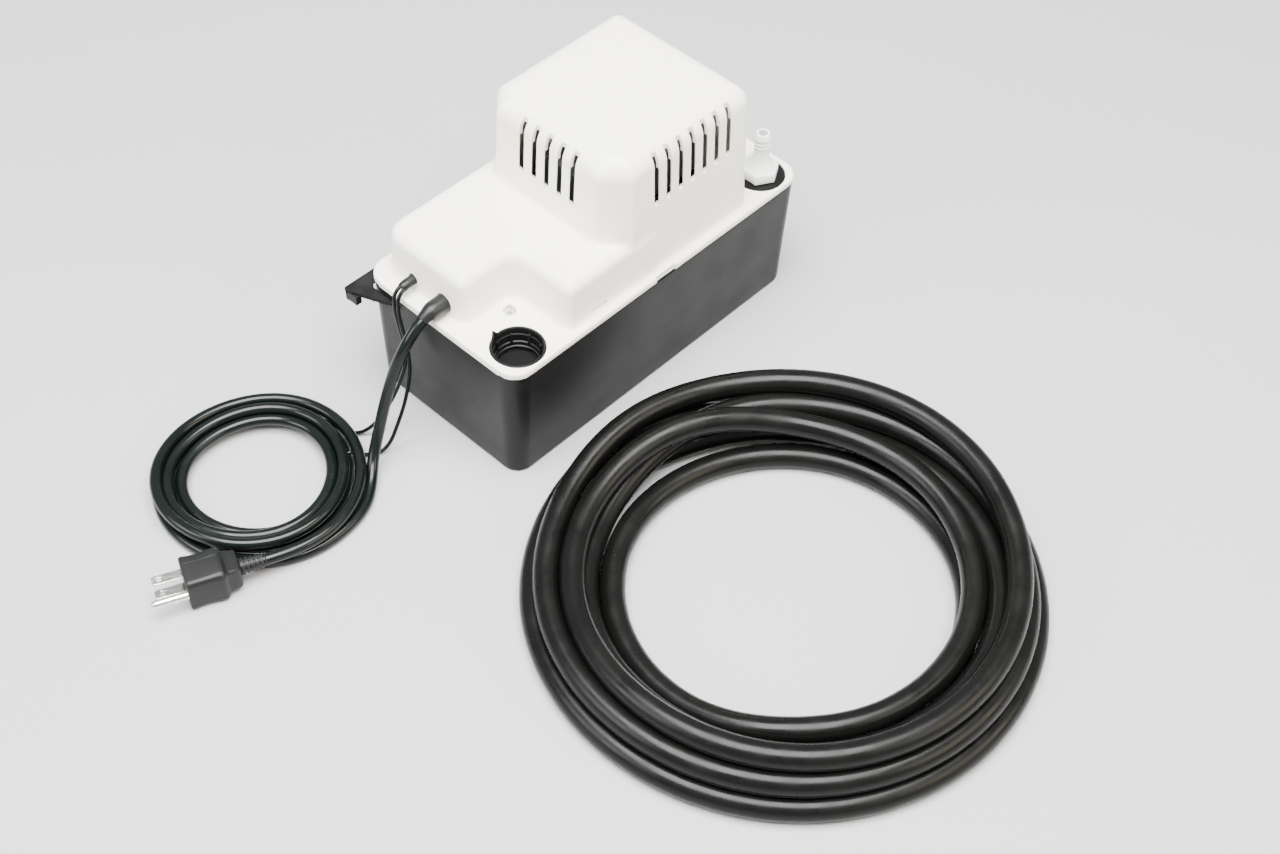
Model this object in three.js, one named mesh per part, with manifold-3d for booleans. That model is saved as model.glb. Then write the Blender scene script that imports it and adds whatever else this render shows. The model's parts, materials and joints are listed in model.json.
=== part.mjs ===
// Condensate removal pump: open-top tank, black deck, white motor cover, vertical shaded-pole motor,
// centrifugal pump end, float with two switches, check valve, power cord, alarm leads and supplied hose.
// Millimetres, +Z up. Origin: centre of the tank's base. +X runs along the long side to the outlet end,
// -X is the cord end, and +Y is the wall side that carries the hanging ears.
import * as THREE from 'three';
import { mergeVertices } from 'three/addons/utils/BufferGeometryUtils.js';
import Module from 'manifold-3d';

const wasm = await Module();
wasm.setup();

// ---------------------------------------------------------------- driving dimensions
const GAP = 0.3; // clearance left between touching pieces
const OVER = 1; // how far a cutter runs past the face it cuts

const LENGTH = 250; // cover flange, along X
const WIDTH = 127; // cover flange, along Y
const CORNER = 14; // plan radius of tank and flange corners
const DRAFT = Math.tan(2.5 * Math.PI / 180); // wall draft of the cover mouldings

const TANK = { height: 84, inset: 0.4, baseInset: 3.2, wall: 2.5, lip: 1.6, ledge: 78.5, floor: 3 };
const DECK = { bottom: 78.8, top: 81.8, inset: 2.4 };
const FLANGE = { bottom: 84.3, top: 89, skirt: 1.6, plate: 2.5 };
const WALL = 2.5; // cover wall
const PLATEAU = { top: 121.5, round: 7, x0: -115, xStep: -75.5, yStep: -12, y: 58 };
const HUMP = { top: 178, round: 12, x0: -39.3, x1: 83, y: 58, chamfer: 16, cornerRound: 12 };
const SLOT = { width: 3.6, bottom: 137.5, pitch: 10.19, firstX: -2.6, firstY: 19.8 };
const SLOT_COUNT = { side: 7, end: 5 };
const SLOT_REACH = { side: 50.5, cordEnd: -31.5, outletEnd: 75.2 };
const EDGE_NOTCH = { x0: -8, x1: 9, depth: 1.4 };
const LATCH_SLIT = { x0: -57, x1: -45, z0: 91.2, z1: 93.2, depth: 4 };
const EAR = { tip: 138.5, bottom: 78.2, top: 80.6, hookBottom: 72.5, backBottom: 71 };

const PORT = { r: 16.5, x: 104.5, y: -45.2 }; // inlet at -x, outlet at +x
const INLET = {
  r: 16.2, neck: 15.6, cup: 13.9, bore: 14.6, floorBore: 12.2, top: 89.4, floorTop: 73.5, floor: 71.7,
};
const VALVE = {
  bottom: 72, top: 122, bore: 3.2, seat: 82.5, chamber: 5.4, stop: 90.5, spout: 2.9, barb: 4.7,
};
const BALL = { r: 4.6, z: 86.2 };

// Everything on the motor shaft is drawn about the shaft's own axis.
const MOTOR = { x: 16, y: 0 };
const STATOR = { x0: -31, y: 30, bottom: 112, top: 134, bore: 20.5, windowX: 25 };
const COIL_LEG = { x0: 34, x1: 46, y: 19 };
const BRACKET = { clear: 4, thickness: 2, webHalf: 8, hub: 9, seat: 6.3 };
const BEARING = { r: 6, bore: 3.25, upper: [137, 145.5], lower: [100.5, 109] };
const STANDOFF = { dx: 27, dy: 25, r: 4, bore: 2 };
const SHAFT = { r: 3.15, seat: 3.2, bottom: 13, top: 166 };
const FAN = { z: 152, hub: 8, disc: 26, blades: 6 };
const COLUMN = { neck: 15, foot: 17, flare: 24, bore: 12.5 };
const VOLUTE = { bottom: 10, top: 30, r: 27, wall: 2.5, spoutY: -20, spoutR: 7, spoutBore: 5, spoutEnd: 38 };
const IMPELLER = { r: 22, hub: 6, bottom: 13.5, disc: 21.5, top: 23.5, vanes: 6 };

// The float and its arm are drawn about the pivot.
const FLOAT_PIVOT = { x: -28, y: 20, z: 70, pin: 1.6 };
const FLOAT = { x0: -76, x1: -30, y: 22, z0: -48, z1: -28 };
const FINGER = { x0: -16.5, x1: -13.5, z0: 17.5, z1: 22 };
const SWITCH = { x0: -30, x1: -16, y: 5, bottom: 88, top: 116, terminalTop: 121, rows: [11, 27] };
const LEVER_PIVOT = { x: -31, z: 112 };

const COVER_SCREWS = { inlet: [-88, -21.5], outlet: [104, 34] };
const SCREW_HEAD_Z = FLANGE.top + 2.3;

const CORD = { d: 7, exit: [-121, 5, 96], gland: 5.7, hole: 6.1 };
const COIL = { x: -232, y: 45.3, r0: 38, r1: 61.8, height: 15 };
const LEAD = { d: 2.4, y: 31, z: 97, grommet: 3.2, hole: 3.6 };
const HOSE = { x: -72, y: -228, r0: 94, r1: 153.5, height: 29 };
const PLUG = { x: -292.3, y: 0.3, z: 12.3, yaw: 155.7 * Math.PI / 180, roll: Math.PI / 2 };
const BLADE = { pitch: 12.7, thickness: 1.5, face: 22, end: 39, hole: 35 };

const POWER_ROUTE = [
  CORD.exit, [-128, 5, 95.4], [-136, 5.2, 91], [-143, 5.6, 83.5], [-150, 7.4, 71.5], [-156.5, 8.8, 55],
  [-163, 9, 38], [-170, 7.4, 23], [-178, 4, 11.5], [-186.5, -4, 5.2], [-194.5, -10.6, 3.8],
  [-203, -16.4, 3.8],
];
const LEAD_ROUTES = {
  a: [
    [-121.2, 32.2, 97], [-127.4, 32.2, 94], [-130.4, 30.6, 87], [-131.4, 27.6, 76], [-131.8, 23.8, 63],
    [-134, 20.6, 50], [-141, 20, 35], [-150, 22, 20], [-159, 26, 8], [-165.5, 31, 2.6], [-169.6, 36.5, 1.4],
  ],
  b: [
    [-121.2, 29.2, 97], [-127.4, 28.8, 93.6], [-130.6, 27.2, 86], [-131.8, 24, 75], [-132.4, 20, 62],
    [-136, 15, 47], [-143.5, 11.4, 32], [-152.5, 9.6, 18], [-161, 9, 7], [-166.5, 11.2, 2.2],
    [-173.6, 15.8, 1.4],
  ],
};

// ---------------------------------------------------------------- materials
function finish(color, roughness, metalness = 0) {
  return new THREE.MeshStandardMaterial({ color, roughness, metalness });
}

const FINISH = {
  white: () => finish(0xf2f0e8, 0.45),
  black: () => finish(0x1d1e1e, 0.4),
  natural: () => finish(0xe6e7e4, 0.35),
  steel: () => finish(0xb8babc, 0.35, 1),
  copper: () => finish(0xa4592c, 0.4, 0.8),
  lamination: () => finish(0x6a6d70, 0.5, 0.9),
  foam: () => finish(0xe9e3d2, 0.8),
  rubber: () => finish(0x151616, 0.55),
  bronze: () => finish(0x9a7a45, 0.45, 0.9),
  nickel: () => finish(0xd8d6cf, 0.25, 1),
};

// ---------------------------------------------------------------- solids from geometry, and back
function toSolid(geometry) {
  const bare = geometry.clone();
  for (const name of Object.keys(bare.attributes)) {
    if (name !== 'position') bare.deleteAttribute(name);
  }
  const merged = mergeVertices(bare, 1e-4);
  return new wasm.Manifold(new wasm.Mesh({
    numProp: 3,
    vertProperties: new Float32Array(merged.attributes.position.array),
    triVerts: new Uint32Array(merged.index.array),
  }));
}

function toGeometry(solid) {
  const mesh = solid.getMesh();
  const geometry = new THREE.BufferGeometry();
  geometry.setAttribute('position', new THREE.BufferAttribute(new Float32Array(mesh.vertProperties), 3));
  geometry.setIndex(new THREE.BufferAttribute(new Uint32Array(mesh.triVerts), 1));
  return geometry;
}

function union(...solids) {
  return solids.reduce((a, b) => a.add(b));
}

// ---------------------------------------------------------------- shape helpers
// A closed plan outline with rounded corners. Each corner is [x, y, radius], counter-clockwise.
// inset moves every edge inwards: outer corners tighten and inner corners open out.
function outline(corners, inset = 0, steps = 3) {
  const points = [];
  const count = corners.length;
  for (let i = 0; i < count; i++) {
    const [px, py] = corners[(i + count - 1) % count];
    const [cx, cy, radius] = corners[i];
    const [nx, ny] = corners[(i + 1) % count];
    const a = new THREE.Vector2(cx - px, cy - py).normalize();
    const b = new THREE.Vector2(nx - cx, ny - cy).normalize();
    const turn = Math.atan2(a.x * b.y - a.y * b.x, a.dot(b));
    const half = Math.tan(turn / 2);
    const x = cx - inset * a.y - inset * half * a.x;
    const y = cy + inset * a.x - inset * half * a.y;
    const r = turn > 0 ? Math.max(radius - inset, 0.5) : radius + inset;
    const tangent = r * Math.abs(half);
    const side = Math.sign(turn);
    const startX = x - tangent * a.x;
    const startY = y - tangent * a.y;
    const centreX = startX - side * r * a.y;
    const centreY = startY + side * r * a.x;
    for (let k = 0; k <= steps; k++) {
      const angle = Math.atan2(startY - centreY, startX - centreX) + turn * k / steps;
      points.push(new THREE.Vector2(centreX + r * Math.cos(angle), centreY + r * Math.sin(angle)));
    }
  }
  return points;
}

function rectCorners(x0, x1, y0, y1, radius) {
  return [[x0, y0, radius], [x1, y0, radius], [x1, y1, radius], [x0, y1, radius]];
}

// Stacks equal-length plan rings into one closed body. Each ring is { points, z }.
function loft(rings) {
  const n = rings[0].points.length;
  const positions = rings.flatMap(({ points, z }) => points.flatMap((p) => [p.x, p.y, z]));
  const index = [];
  for (let k = 0; k + 1 < rings.length; k++) {
    for (let i = 0; i < n; i++) {
      const j = (i + 1) % n;
      const low = k * n;
      const high = low + n;
      index.push(low + i, low + j, high + j, low + i, high + j, high + i);
    }
  }
  const last = (rings.length - 1) * n;
  for (const [a, b, c] of THREE.ShapeUtils.triangulateShape(rings[0].points, [])) index.push(a, c, b);
  for (const [a, b, c] of THREE.ShapeUtils.triangulateShape(rings.at(-1).points, [])) {
    index.push(last + a, last + b, last + c);
  }
  const geometry = new THREE.BufferGeometry();
  geometry.setAttribute('position', new THREE.Float32BufferAttribute(positions, 3));
  geometry.setIndex(index);
  return geometry;
}

// A drafted boss with a rounded top edge: the moulded shape of the cover's two raised parts.
function moulding(corners, z0, z1, round, inset = 0, steps = 3) {
  const ring = (z, extra) => ({ points: outline(corners, inset + extra + (z - FLANGE.top) * DRAFT), z });
  const rings = [ring(z0, 0)];
  for (let k = 0; k <= steps; k++) {
    const angle = (Math.PI / 2) * (k / steps);
    rings.push(ring(z1 - round + round * Math.sin(angle), round * (1 - Math.cos(angle))));
  }
  return toSolid(loft(rings));
}

function block(x0, x1, y0, y1, z0, z1) {
  const box = new THREE.BoxGeometry(x1 - x0, y1 - y0, z1 - z0);
  box.translate((x0 + x1) / 2, (y0 + y1) / 2, (z0 + z1) / 2);
  return toSolid(box);
}

function plate(corners, z0, z1, inset = 0) {
  const points = outline(corners, inset);
  return toSolid(loft([{ points, z: z0 }, { points, z: z1 }]));
}

// A solid of revolution about a vertical axis; profile is a list of [radius, z] that starts and ends
// on the axis, or is closed here.
function turned(profile, { x = 0, y = 0, segments = 24 } = {}) {
  const onAxis = profile[0][0] < 1e-6;
  const closed = onAxis ? profile : [...profile, profile[0]];
  const lathe = new THREE.LatheGeometry(closed.map(([r, z]) => new THREE.Vector2(r, z)), segments);
  lathe.rotateX(Math.PI / 2);
  lathe.translate(x, y, 0);
  return toSolid(lathe);
}

function rod(r, z0, z1, place = {}) {
  return turned([[0, z0], [r, z0], [r, z1], [0, z1]], place);
}

function pipe(r0, r1, z0, z1, place = {}) {
  return turned([[r0, z0], [r1, z0], [r1, z1], [r0, z1]], place);
}

// A round bar between two points, along any direction.
function bar(r, from, to, segments = 24) {
  const a = new THREE.Vector3(...from);
  const b = new THREE.Vector3(...to);
  const along = b.clone().sub(a).normalize();
  const geometry = new THREE.CylinderGeometry(r, r, a.distanceTo(b), segments);
  geometry.applyQuaternion(new THREE.Quaternion().setFromUnitVectors(new THREE.Vector3(0, 1, 0), along));
  geometry.translate((a.x + b.x) / 2, (a.y + b.y) / 2, (a.z + b.z) / 2);
  return toSolid(geometry);
}

// A side-view outline in X and Z, given a thickness along Y.
function sideProfile(points, y0, y1) {
  const shape = new THREE.Shape(points.map(([x, z]) => new THREE.Vector2(x, z)));
  const geometry = new THREE.ExtrudeGeometry(shape, { depth: y1 - y0, bevelEnabled: false });
  geometry.rotateX(Math.PI / 2);
  geometry.translate(0, y1, 0);
  return toSolid(geometry);
}

function tubeAlong(route, d, sides, steps) {
  const path = new THREE.CatmullRomCurve3(route.map((p) => new THREE.Vector3(...p)), false, 'centripetal');
  const section = new THREE.Shape();
  for (let i = 0; i < sides; i++) {
    const angle = 2 * Math.PI * i / sides;
    const x = d / 2 * Math.cos(angle);
    const y = d / 2 * Math.sin(angle);
    if (i === 0) section.moveTo(x, y);
    else section.lineTo(x, y);
  }
  return toSolid(new THREE.ExtrudeGeometry(section, { steps, extrudePath: path, bevelEnabled: false }));
}

// The four mirrored places at dx and dy about a centre.
function corners4(dx, dy) {
  return [[-dx, -dy], [dx, -dy], [dx, dy], [-dx, dy]];
}

// ---------------------------------------------------------------- scene graph helpers
function addGroup(parent, x = 0, y = 0, z = 0) {
  const group = new THREE.Group();
  group.position.set(x, y, z);
  parent.add(group);
  return group;
}

function addPart(parent, name, solid, material, [x, y, z] = [0, 0, 0]) {
  const mesh = new THREE.Mesh(toGeometry(solid), material);
  mesh.name = name;
  mesh.position.set(x, y, z);
  parent.add(mesh);
}

// ---------------------------------------------------------------- tank and deck
const flangeCorners = rectCorners(-LENGTH / 2, LENGTH / 2, -WIDTH / 2, WIDTH / 2, CORNER);

function makeTank() {
  const ring = (inset, z) => ({ points: outline(flangeCorners, inset), z });
  const taper = (z) => TANK.inset + (TANK.baseInset - TANK.inset) * (1 - z / TANK.height);
  const outside = toSolid(loft([
    ring(TANK.baseInset + 1.5, 0),
    ring(TANK.baseInset + 0.4, 0.5),
    ring(taper(2), 2),
    ring(TANK.inset, TANK.height),
  ]));
  const inside = toSolid(loft([
    ring(taper(TANK.floor) + TANK.wall + 1, TANK.floor),
    ring(taper(TANK.floor + 3) + TANK.wall, TANK.floor + 3),
    ring(taper(TANK.ledge) + TANK.wall, TANK.ledge + 0.01),
  ]));
  const mouth = plate(flangeCorners, TANK.ledge, TANK.height + OVER, taper(TANK.height) + TANK.lip);
  return outside.subtract(inside.add(mouth));
}

// Windows round the foot of the inlet cup let the condensate run out into the tank.
function inletWindows() {
  const cutters = [0, 1, 2].map((i) => {
    const box = new THREE.BoxGeometry(2 * INLET.r, 7, 3.6);
    box.rotateZ(Math.PI * i / 3);
    box.translate(-PORT.x, PORT.y, INLET.floorTop + 1.9);
    return toSolid(box);
  });
  return union(...cutters);
}

// The collar that fills a corner hole of the cover; below the deck it narrows to the inlet cup.
function portBoss(x, z0, z1) {
  const shoulder = FLANGE.bottom + GAP;
  return turned([
    [0, z0], [INLET.cup, z0], [INLET.cup, DECK.bottom], [INLET.neck, DECK.bottom], [INLET.neck, shoulder],
    [INLET.r, shoulder], [INLET.r, z1 - 0.6], [INLET.r - 0.6, z1], [0, z1],
  ], { x, y: PORT.y });
}

// The small pointed catch that stands on the inlet collar.
function inletTab() {
  const side = [[-3, -1], [3, -1], [1, 3], [-1.6, 6.5], [-2.4, 2]].map(([x, y]) => new THREE.Vector2(x, y));
  const tab = new THREE.ExtrudeGeometry(new THREE.Shape(side), { depth: 1.2, bevelEnabled: false });
  tab.rotateX(Math.PI / 2);
  tab.rotateZ(0.28);
  tab.translate(-PORT.x - 4, PORT.y + 14.6, INLET.top);
  return toSolid(tab);
}

function makeDeck() {
  const slab = plate(flangeCorners, DECK.bottom, DECK.top, DECK.inset);
  const well = turned([
    [0, INLET.floorTop], [INLET.floorBore, INLET.floorTop], [INLET.floorBore + 0.4, DECK.bottom],
    [INLET.bore, INLET.top + OVER], [0, INLET.top + OVER],
  ], { x: -PORT.x, y: PORT.y });
  const span = [DECK.bottom - OVER, FLANGE.top + OVER];
  const through = (r, x, y, segments = 24) => rod(r, ...span, { x, y, segments });
  const holes = union(
    through(6.6, PORT.x, PORT.y),
    through(7, MOTOR.x, MOTOR.y),
    block(-52, -26, 6, 34, DECK.bottom - OVER, DECK.top + OVER),
    ...Object.values(COVER_SCREWS).map(([x, y]) => through(1.9, x, y, 16)),
    ...corners4(STANDOFF.dx, STANDOFF.dy).map(([x, y]) => through(1.8, MOTOR.x + x, MOTOR.y + y, 16)),
  );
  const bosses = union(portBoss(-PORT.x, INLET.floor, INLET.top), portBoss(PORT.x, DECK.bottom, 88.6));
  return union(slab, bosses).subtract(union(well, inletWindows(), holes)).add(inletTab());
}

// ---------------------------------------------------------------- motor cover
const plateauCorners = [
  [PLATEAU.x0, PLATEAU.yStep, 6],
  [PLATEAU.xStep, PLATEAU.yStep, 8],
  [PLATEAU.xStep, -PLATEAU.y, 5],
  [HUMP.x0 + 40, -PLATEAU.y, 5],
  [HUMP.x0 + 40, PLATEAU.y, 5],
  [PLATEAU.x0, PLATEAU.y, 14],
];
const humpCorners = [
  [HUMP.x0, -HUMP.y + HUMP.chamfer, 5],
  [HUMP.x0 + HUMP.chamfer, -HUMP.y, 3],
  [HUMP.x1, -HUMP.y, HUMP.cornerRound],
  [HUMP.x1, HUMP.y, HUMP.cornerRound],
  [HUMP.x0 + HUMP.chamfer, HUMP.y, 5],
  [HUMP.x0, HUMP.y - HUMP.chamfer, 5],
];

function ventSlots() {
  const half = SLOT.width / 2;
  const top = HUMP.top + OVER;
  const cutters = [];
  for (let i = 0; i < SLOT_COUNT.side; i++) {
    const x = SLOT.firstX + i * SLOT.pitch;
    cutters.push(block(x - half, x + half, -HUMP.y - OVER, -SLOT_REACH.side, SLOT.bottom, top));
    cutters.push(block(x - half, x + half, SLOT_REACH.side, HUMP.y + OVER, SLOT.bottom, top));
  }
  for (let i = 0; i < SLOT_COUNT.end; i++) {
    const y = SLOT.firstY - i * SLOT.pitch;
    cutters.push(block(HUMP.x0 - OVER, SLOT_REACH.cordEnd, y - half, y + half, SLOT.bottom, top));
    cutters.push(block(SLOT_REACH.outletEnd, HUMP.x1 + OVER, y - half, y + half, SLOT.bottom, top));
  }
  return union(...cutters);
}

function makeCover() {
  const raised = (inset) => union(
    moulding(plateauCorners, FLANGE.bottom + 1, PLATEAU.top - inset, PLATEAU.round - inset, inset),
    moulding(humpCorners, FLANGE.bottom + 1, HUMP.top - inset, HUMP.round - inset, inset),
  );
  const outside = plate(flangeCorners, FLANGE.bottom, FLANGE.top).add(raised(0));
  const inside = plate(flangeCorners, FLANGE.bottom - OVER, FLANGE.top - FLANGE.plate, FLANGE.skirt)
    .add(raised(WALL));
  const endHole = (r, y, z) => bar(r, [PLATEAU.x0 - 3, y, z], [PLATEAU.x0 + 9, y, z]);
  const down = (r, x, y, segments = 24) => rod(r, FLANGE.bottom, 95, { x, y, segments });
  const { x0, x1, z0, z1 } = LATCH_SLIT;
  return outside.subtract(inside).subtract(union(
    down(PORT.r, -PORT.x, PORT.y),
    down(PORT.r, PORT.x, PORT.y),
    ...Object.values(COVER_SCREWS).map(([x, y]) => down(2.4, x, y, 16)),
    endHole(CORD.hole, CORD.exit[1], CORD.exit[2]),
    endHole(LEAD.hole, LEAD.y, LEAD.z),
    block(EDGE_NOTCH.x0, EDGE_NOTCH.x1, -WIDTH / 2 - OVER, -WIDTH / 2 + EDGE_NOTCH.depth,
      FLANGE.bottom - OVER, FLANGE.top + OVER),
    block(x0, x1, -PLATEAU.y - OVER, -PLATEAU.y + LATCH_SLIT.depth, z0, z1),
    ventSlots(),
  ));
}

// The cross-slotted screw that holds the cover down to the deck.
function makeCoverScrew() {
  const head = turned([[0, -2], [4, -2], [4, -1], [2.6, 0.4], [0, 0.6]], { segments: 20 });
  const cross = union(block(-2.2, 2.2, -0.4, 0.4, -0.3, 2), block(-0.4, 0.4, -2.2, 2.2, -0.3, 2));
  const shank = rod(1.5, DECK.bottom - 4 - SCREW_HEAD_Z, -1.5, { segments: 12 });
  return head.subtract(cross).add(shank);
}

// A flat triangular ear that wraps the tank's corner, with a hook and a stop lip under it.
function makeHangerEar() {
  const wallX = LENGTH / 2 + 0.2;
  const wallY = WIDTH / 2 + 0.2;
  const backY = wallY + 3.6;
  const web = plate([
    [wallX, 34, 0.5], [EAR.tip, wallY + 1.5, 1.2], [EAR.tip - 1, backY, 0.8],
    [112, backY, 0.8], [112, wallY, 0.3], [117.4, wallY, 0.3], [wallX, 55.7, 0.3],
  ], EAR.bottom, EAR.top);
  const under = EAR.bottom + 0.8;
  return union(
    web,
    block(112, EAR.tip - 1.5, wallY + 1.2, backY, EAR.backBottom, under),
    block(EAR.tip - 5, EAR.tip - 1, 57, wallY + 2, EAR.hookBottom, under),
    block(wallX + 2.4, wallX + 5, 50, 57.5, 75.5, under),
    block(wallX, wallX + 2.2, 36, wallY + 1, 74, under),
  );
}

// ---------------------------------------------------------------- motor, about its own axis
function makeStator() {
  const through = [STATOR.bottom - OVER, STATOR.top + OVER];
  const frame = block(STATOR.x0, COIL_LEG.x1, -STATOR.y, STATOR.y, STATOR.bottom, STATOR.top);
  const window = block(STATOR.windowX, COIL_LEG.x0, -COIL_LEG.y, COIL_LEG.y, ...through);
  const bore = rod(STATOR.bore, ...through, { segments: 40 });
  const hole = ([x, y]) => rod(2.4, ...through, { x, y, segments: 12 });
  const holes = corners4(STANDOFF.dx, STANDOFF.dy).map(hole);
  return frame.subtract(union(window, bore, ...holes));
}

// A rectangular sleeve round the stator's coil leg, between two distances from the leg's faces.
function legSleeve(inner, outer, y0, y1) {
  const { x0, x1 } = COIL_LEG;
  return block(x0 - outer, x1 + outer, y0, y1, STATOR.bottom - outer, STATOR.top + outer)
    .subtract(block(x0 - inner, x1 + inner, y0 - 1, y1 + 1, STATOR.bottom - inner, STATOR.top + inner));
}

function makeBobbin() {
  const end = COIL_LEG.y - 0.6;
  const cheek = 1.6;
  return union(
    legSleeve(GAP, 2, -end, end),
    legSleeve(GAP, 8.4, -end, -end + cheek),
    legSleeve(GAP, 8.4, end - cheek, end),
  );
}

// An H-shaped pressing with a bearing hub; its side bars pass clear of the coil.
function makeBearingBracket(z0, [hubZ0, hubZ1]) {
  const { dx, dy, r } = STANDOFF;
  const z1 = z0 + BRACKET.thickness;
  const web = block(-BRACKET.webHalf, BRACKET.webHalf, -dy - r, dy + r, z0, z1);
  const bars = [-dy, dy].map((y) => block(-dx - r, dx + r, y - r, y + r, z0, z1));
  const hub = rod(BRACKET.hub, hubZ0 - 0.5, hubZ1 + 0.5);
  const bore = rod(BRACKET.seat, hubZ0 - OVER, hubZ1 + OVER);
  const screwHole = ([x, y]) => rod(2.2, z0 - OVER, z1 + OVER, { x, y, segments: 12 });
  const screwHoles = corners4(dx, dy).map(screwHole);
  return union(web, hub, ...bars).subtract(union(bore, ...screwHoles));
}

function makeMotorScrew() {
  const seat = STATOR.top + BRACKET.clear + BRACKET.thickness + GAP;
  const shank = rod(1.5, DECK.top + 4, STATOR.top + 8, { segments: 8 });
  return shank.add(rod(3.2, seat, STATOR.top + 9, { segments: 6 }));
}

function makeFan() {
  const { z, hub, disc, blades } = FAN;
  const plateRing = rod(disc, z - 1, z + 0.6).subtract(rod(SHAFT.seat, z - 5, z + 9));
  const fanBlades = Array.from({ length: blades }, (_, i) => {
    const blade = new THREE.BoxGeometry(17.5, 1.2, 6);
    blade.translate(16.5, 0, z + 3);
    blade.rotateZ(2 * Math.PI * i / blades);
    return toSolid(blade);
  });
  return union(pipe(SHAFT.seat, hub, z - 3, z + 6), plateRing, ...fanBlades);
}

// ---------------------------------------------------------------- pump end, about the motor's axis
function makeColumn() {
  const foot = VOLUTE.top + GAP;
  const head = DECK.bottom - GAP;
  const { neck, flare, bore } = COLUMN;
  const outer = turned([[0, foot], [COLUMN.foot, foot], [neck, 45], [neck, 70], [flare, head], [0, head]]);
  const inner = turned([[0, 20], [7, 20], [bore, 42], [bore, 90], [0, 90]]);
  const windows = union(block(-30, 30, -5, 5, 50, 66), block(-5, 5, -30, 30, 50, 66));
  return outer.subtract(inner.add(windows));
}

const pumpMiddle = (VOLUTE.bottom + VOLUTE.top) / 2;

function makeVolute() {
  const { r, wall, bottom, top, spoutY: y, spoutR, spoutBore, spoutEnd } = VOLUTE;
  const shell = rod(r, bottom, top, { segments: 40 });
  const spout = bar(spoutR, [0, y, pumpMiddle], [spoutEnd, y, pumpMiddle]);
  const cavity = rod(r - wall, bottom - OVER, top - wall, { segments: 40 });
  const way = bar(spoutBore, [4, y, pumpMiddle], [spoutEnd + 2, y, pumpMiddle]);
  const shaftHole = rod(5, bottom, top + 2);
  return union(shell, spout).subtract(union(cavity, way, shaftHole));
}

function makeIntakePlate() {
  const disc = rod(VOLUTE.r, VOLUTE.bottom - 3.3, VOLUTE.bottom - GAP, { segments: 40 });
  const feet = [0, 1, 2].map((i) => {
    const angle = 2 * Math.PI * i / 3;
    const at = { x: 22 * Math.cos(angle), y: 22 * Math.sin(angle), segments: 12 };
    return rod(3, TANK.floor + 0.5, VOLUTE.bottom - 3, at);
  });
  return union(disc, ...feet).subtract(rod(8, 0, VOLUTE.bottom + OVER));
}

function makeImpeller() {
  const { r, hub, bottom, disc, top, vanes } = IMPELLER;
  const blades = Array.from({ length: vanes }, (_, i) => {
    const vane = new THREE.BoxGeometry(17, 1.4, 8);
    vane.rotateZ(-0.35);
    vane.translate(13, 3, 17.6);
    vane.rotateZ(2 * Math.PI * i / vanes);
    return toSolid(vane);
  });
  return union(rod(r, disc, top, { segments: 40 }), rod(hub, bottom, top), ...blades)
    .subtract(rod(SHAFT.seat, bottom - 3, top + 6))
    .intersect(rod(r, bottom - 3, top + 6, { segments: 40 }));
}

// Runs from the volute's spout across the tank, and up to the foot of the check valve.
function makeDischargeTube() {
  const z = pumpMiddle;
  const y = VOLUTE.spoutY;
  const startX = MOTOR.x + VOLUTE.spoutEnd + GAP;
  const foot = VALVE.bottom - 0.5;
  const route = [
    [startX, y, z], [MOTOR.x + 46, y, z], [76, -28, z], [90, -38, z + 1], [100, -44, z + 6],
    [PORT.x, PORT.y, z + 18], [PORT.x, PORT.y, 50], [PORT.x, PORT.y, foot],
  ];
  const longer = [[startX - 4, y, z], ...route, [PORT.x, PORT.y, foot + 4.5]];
  const bore = tubeAlong(longer, 2 * VOLUTE.spoutBore, 10, 16);
  return tubeAlong(route, 2 * VOLUTE.spoutR, 14, 14).subtract(bore);
}

// ---------------------------------------------------------------- check valve, about its own axis
function makeValveBody() {
  const { bottom, top, bore, seat, chamber, stop, spout, barb } = VALVE;
  const ridges = [112, 115, 118].flatMap((z) => [[barb, z], [barb + 0.6, z + 0.4]]);
  const barrel = [[6.2, bottom], [6.2, 88.9], [9.6, 88.9], [9.6, 97], [5.2, 104], [barb, 107]];
  const outer = turned([[0, bottom], ...barrel, ...ridges, [4.2, top], [0, top]], { segments: 20 });
  const hexagon = new THREE.CylinderGeometry(12.4, 12.4, 7.5, 6);
  hexagon.rotateX(Math.PI / 2);
  hexagon.rotateZ(0.52);
  hexagon.translate(0, 0, 92.8);
  const way = turned([
    [0, bottom - OVER], [bore, bottom - OVER], [bore, seat], [chamber, seat + 2],
    [chamber, stop], [spout, stop + 4], [spout, top + OVER], [0, top + OVER],
  ], { segments: 16 });
  return outer.add(toSolid(hexagon)).subtract(way);
}

// ---------------------------------------------------------------- float and switches
function makeFloatArm() {
  const { pin } = FLOAT_PIVOT;
  const { x0, x1, z0, z1 } = FINGER;
  const seat = block(-64, -34, -5, 5, FLOAT.z1 + GAP, FLOAT.z1 + 3);
  const strut = sideProfile([[-38, FLOAT.z1 + 1], [-32, FLOAT.z1 + 0.6], [2, -3], [-3, 3]], -4, 4);
  const eye = bar(5, [0, -4, 0], [0, 4, 0]);
  const finger = sideProfile([[-4.6, -1], [0, 1], [x1, z1], [x0, z1]], -4, 4);
  const push = block(x0, x1, -12, 10, z0, z1);
  return union(seat, strut, eye, finger, push).subtract(bar(pin + 0.1, [0, -6, 0], [0, 6, 0]));
}

function makeFloatBracket() {
  const head = DECK.bottom - GAP - FLOAT_PIVOT.z;
  const lug = (y) => sideProfile([[-5, -5], [5, -5], [7, head], [-2, head]], y - 1.2, y + 1.2);
  const bridge = block(2.2, 7, -6.8, 6.8, head - 2.3, head);
  return union(lug(-5.6), lug(5.6), bridge).subtract(bar(FLOAT_PIVOT.pin + GAP, [0, -9, 0], [0, 9, 0]));
}

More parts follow.
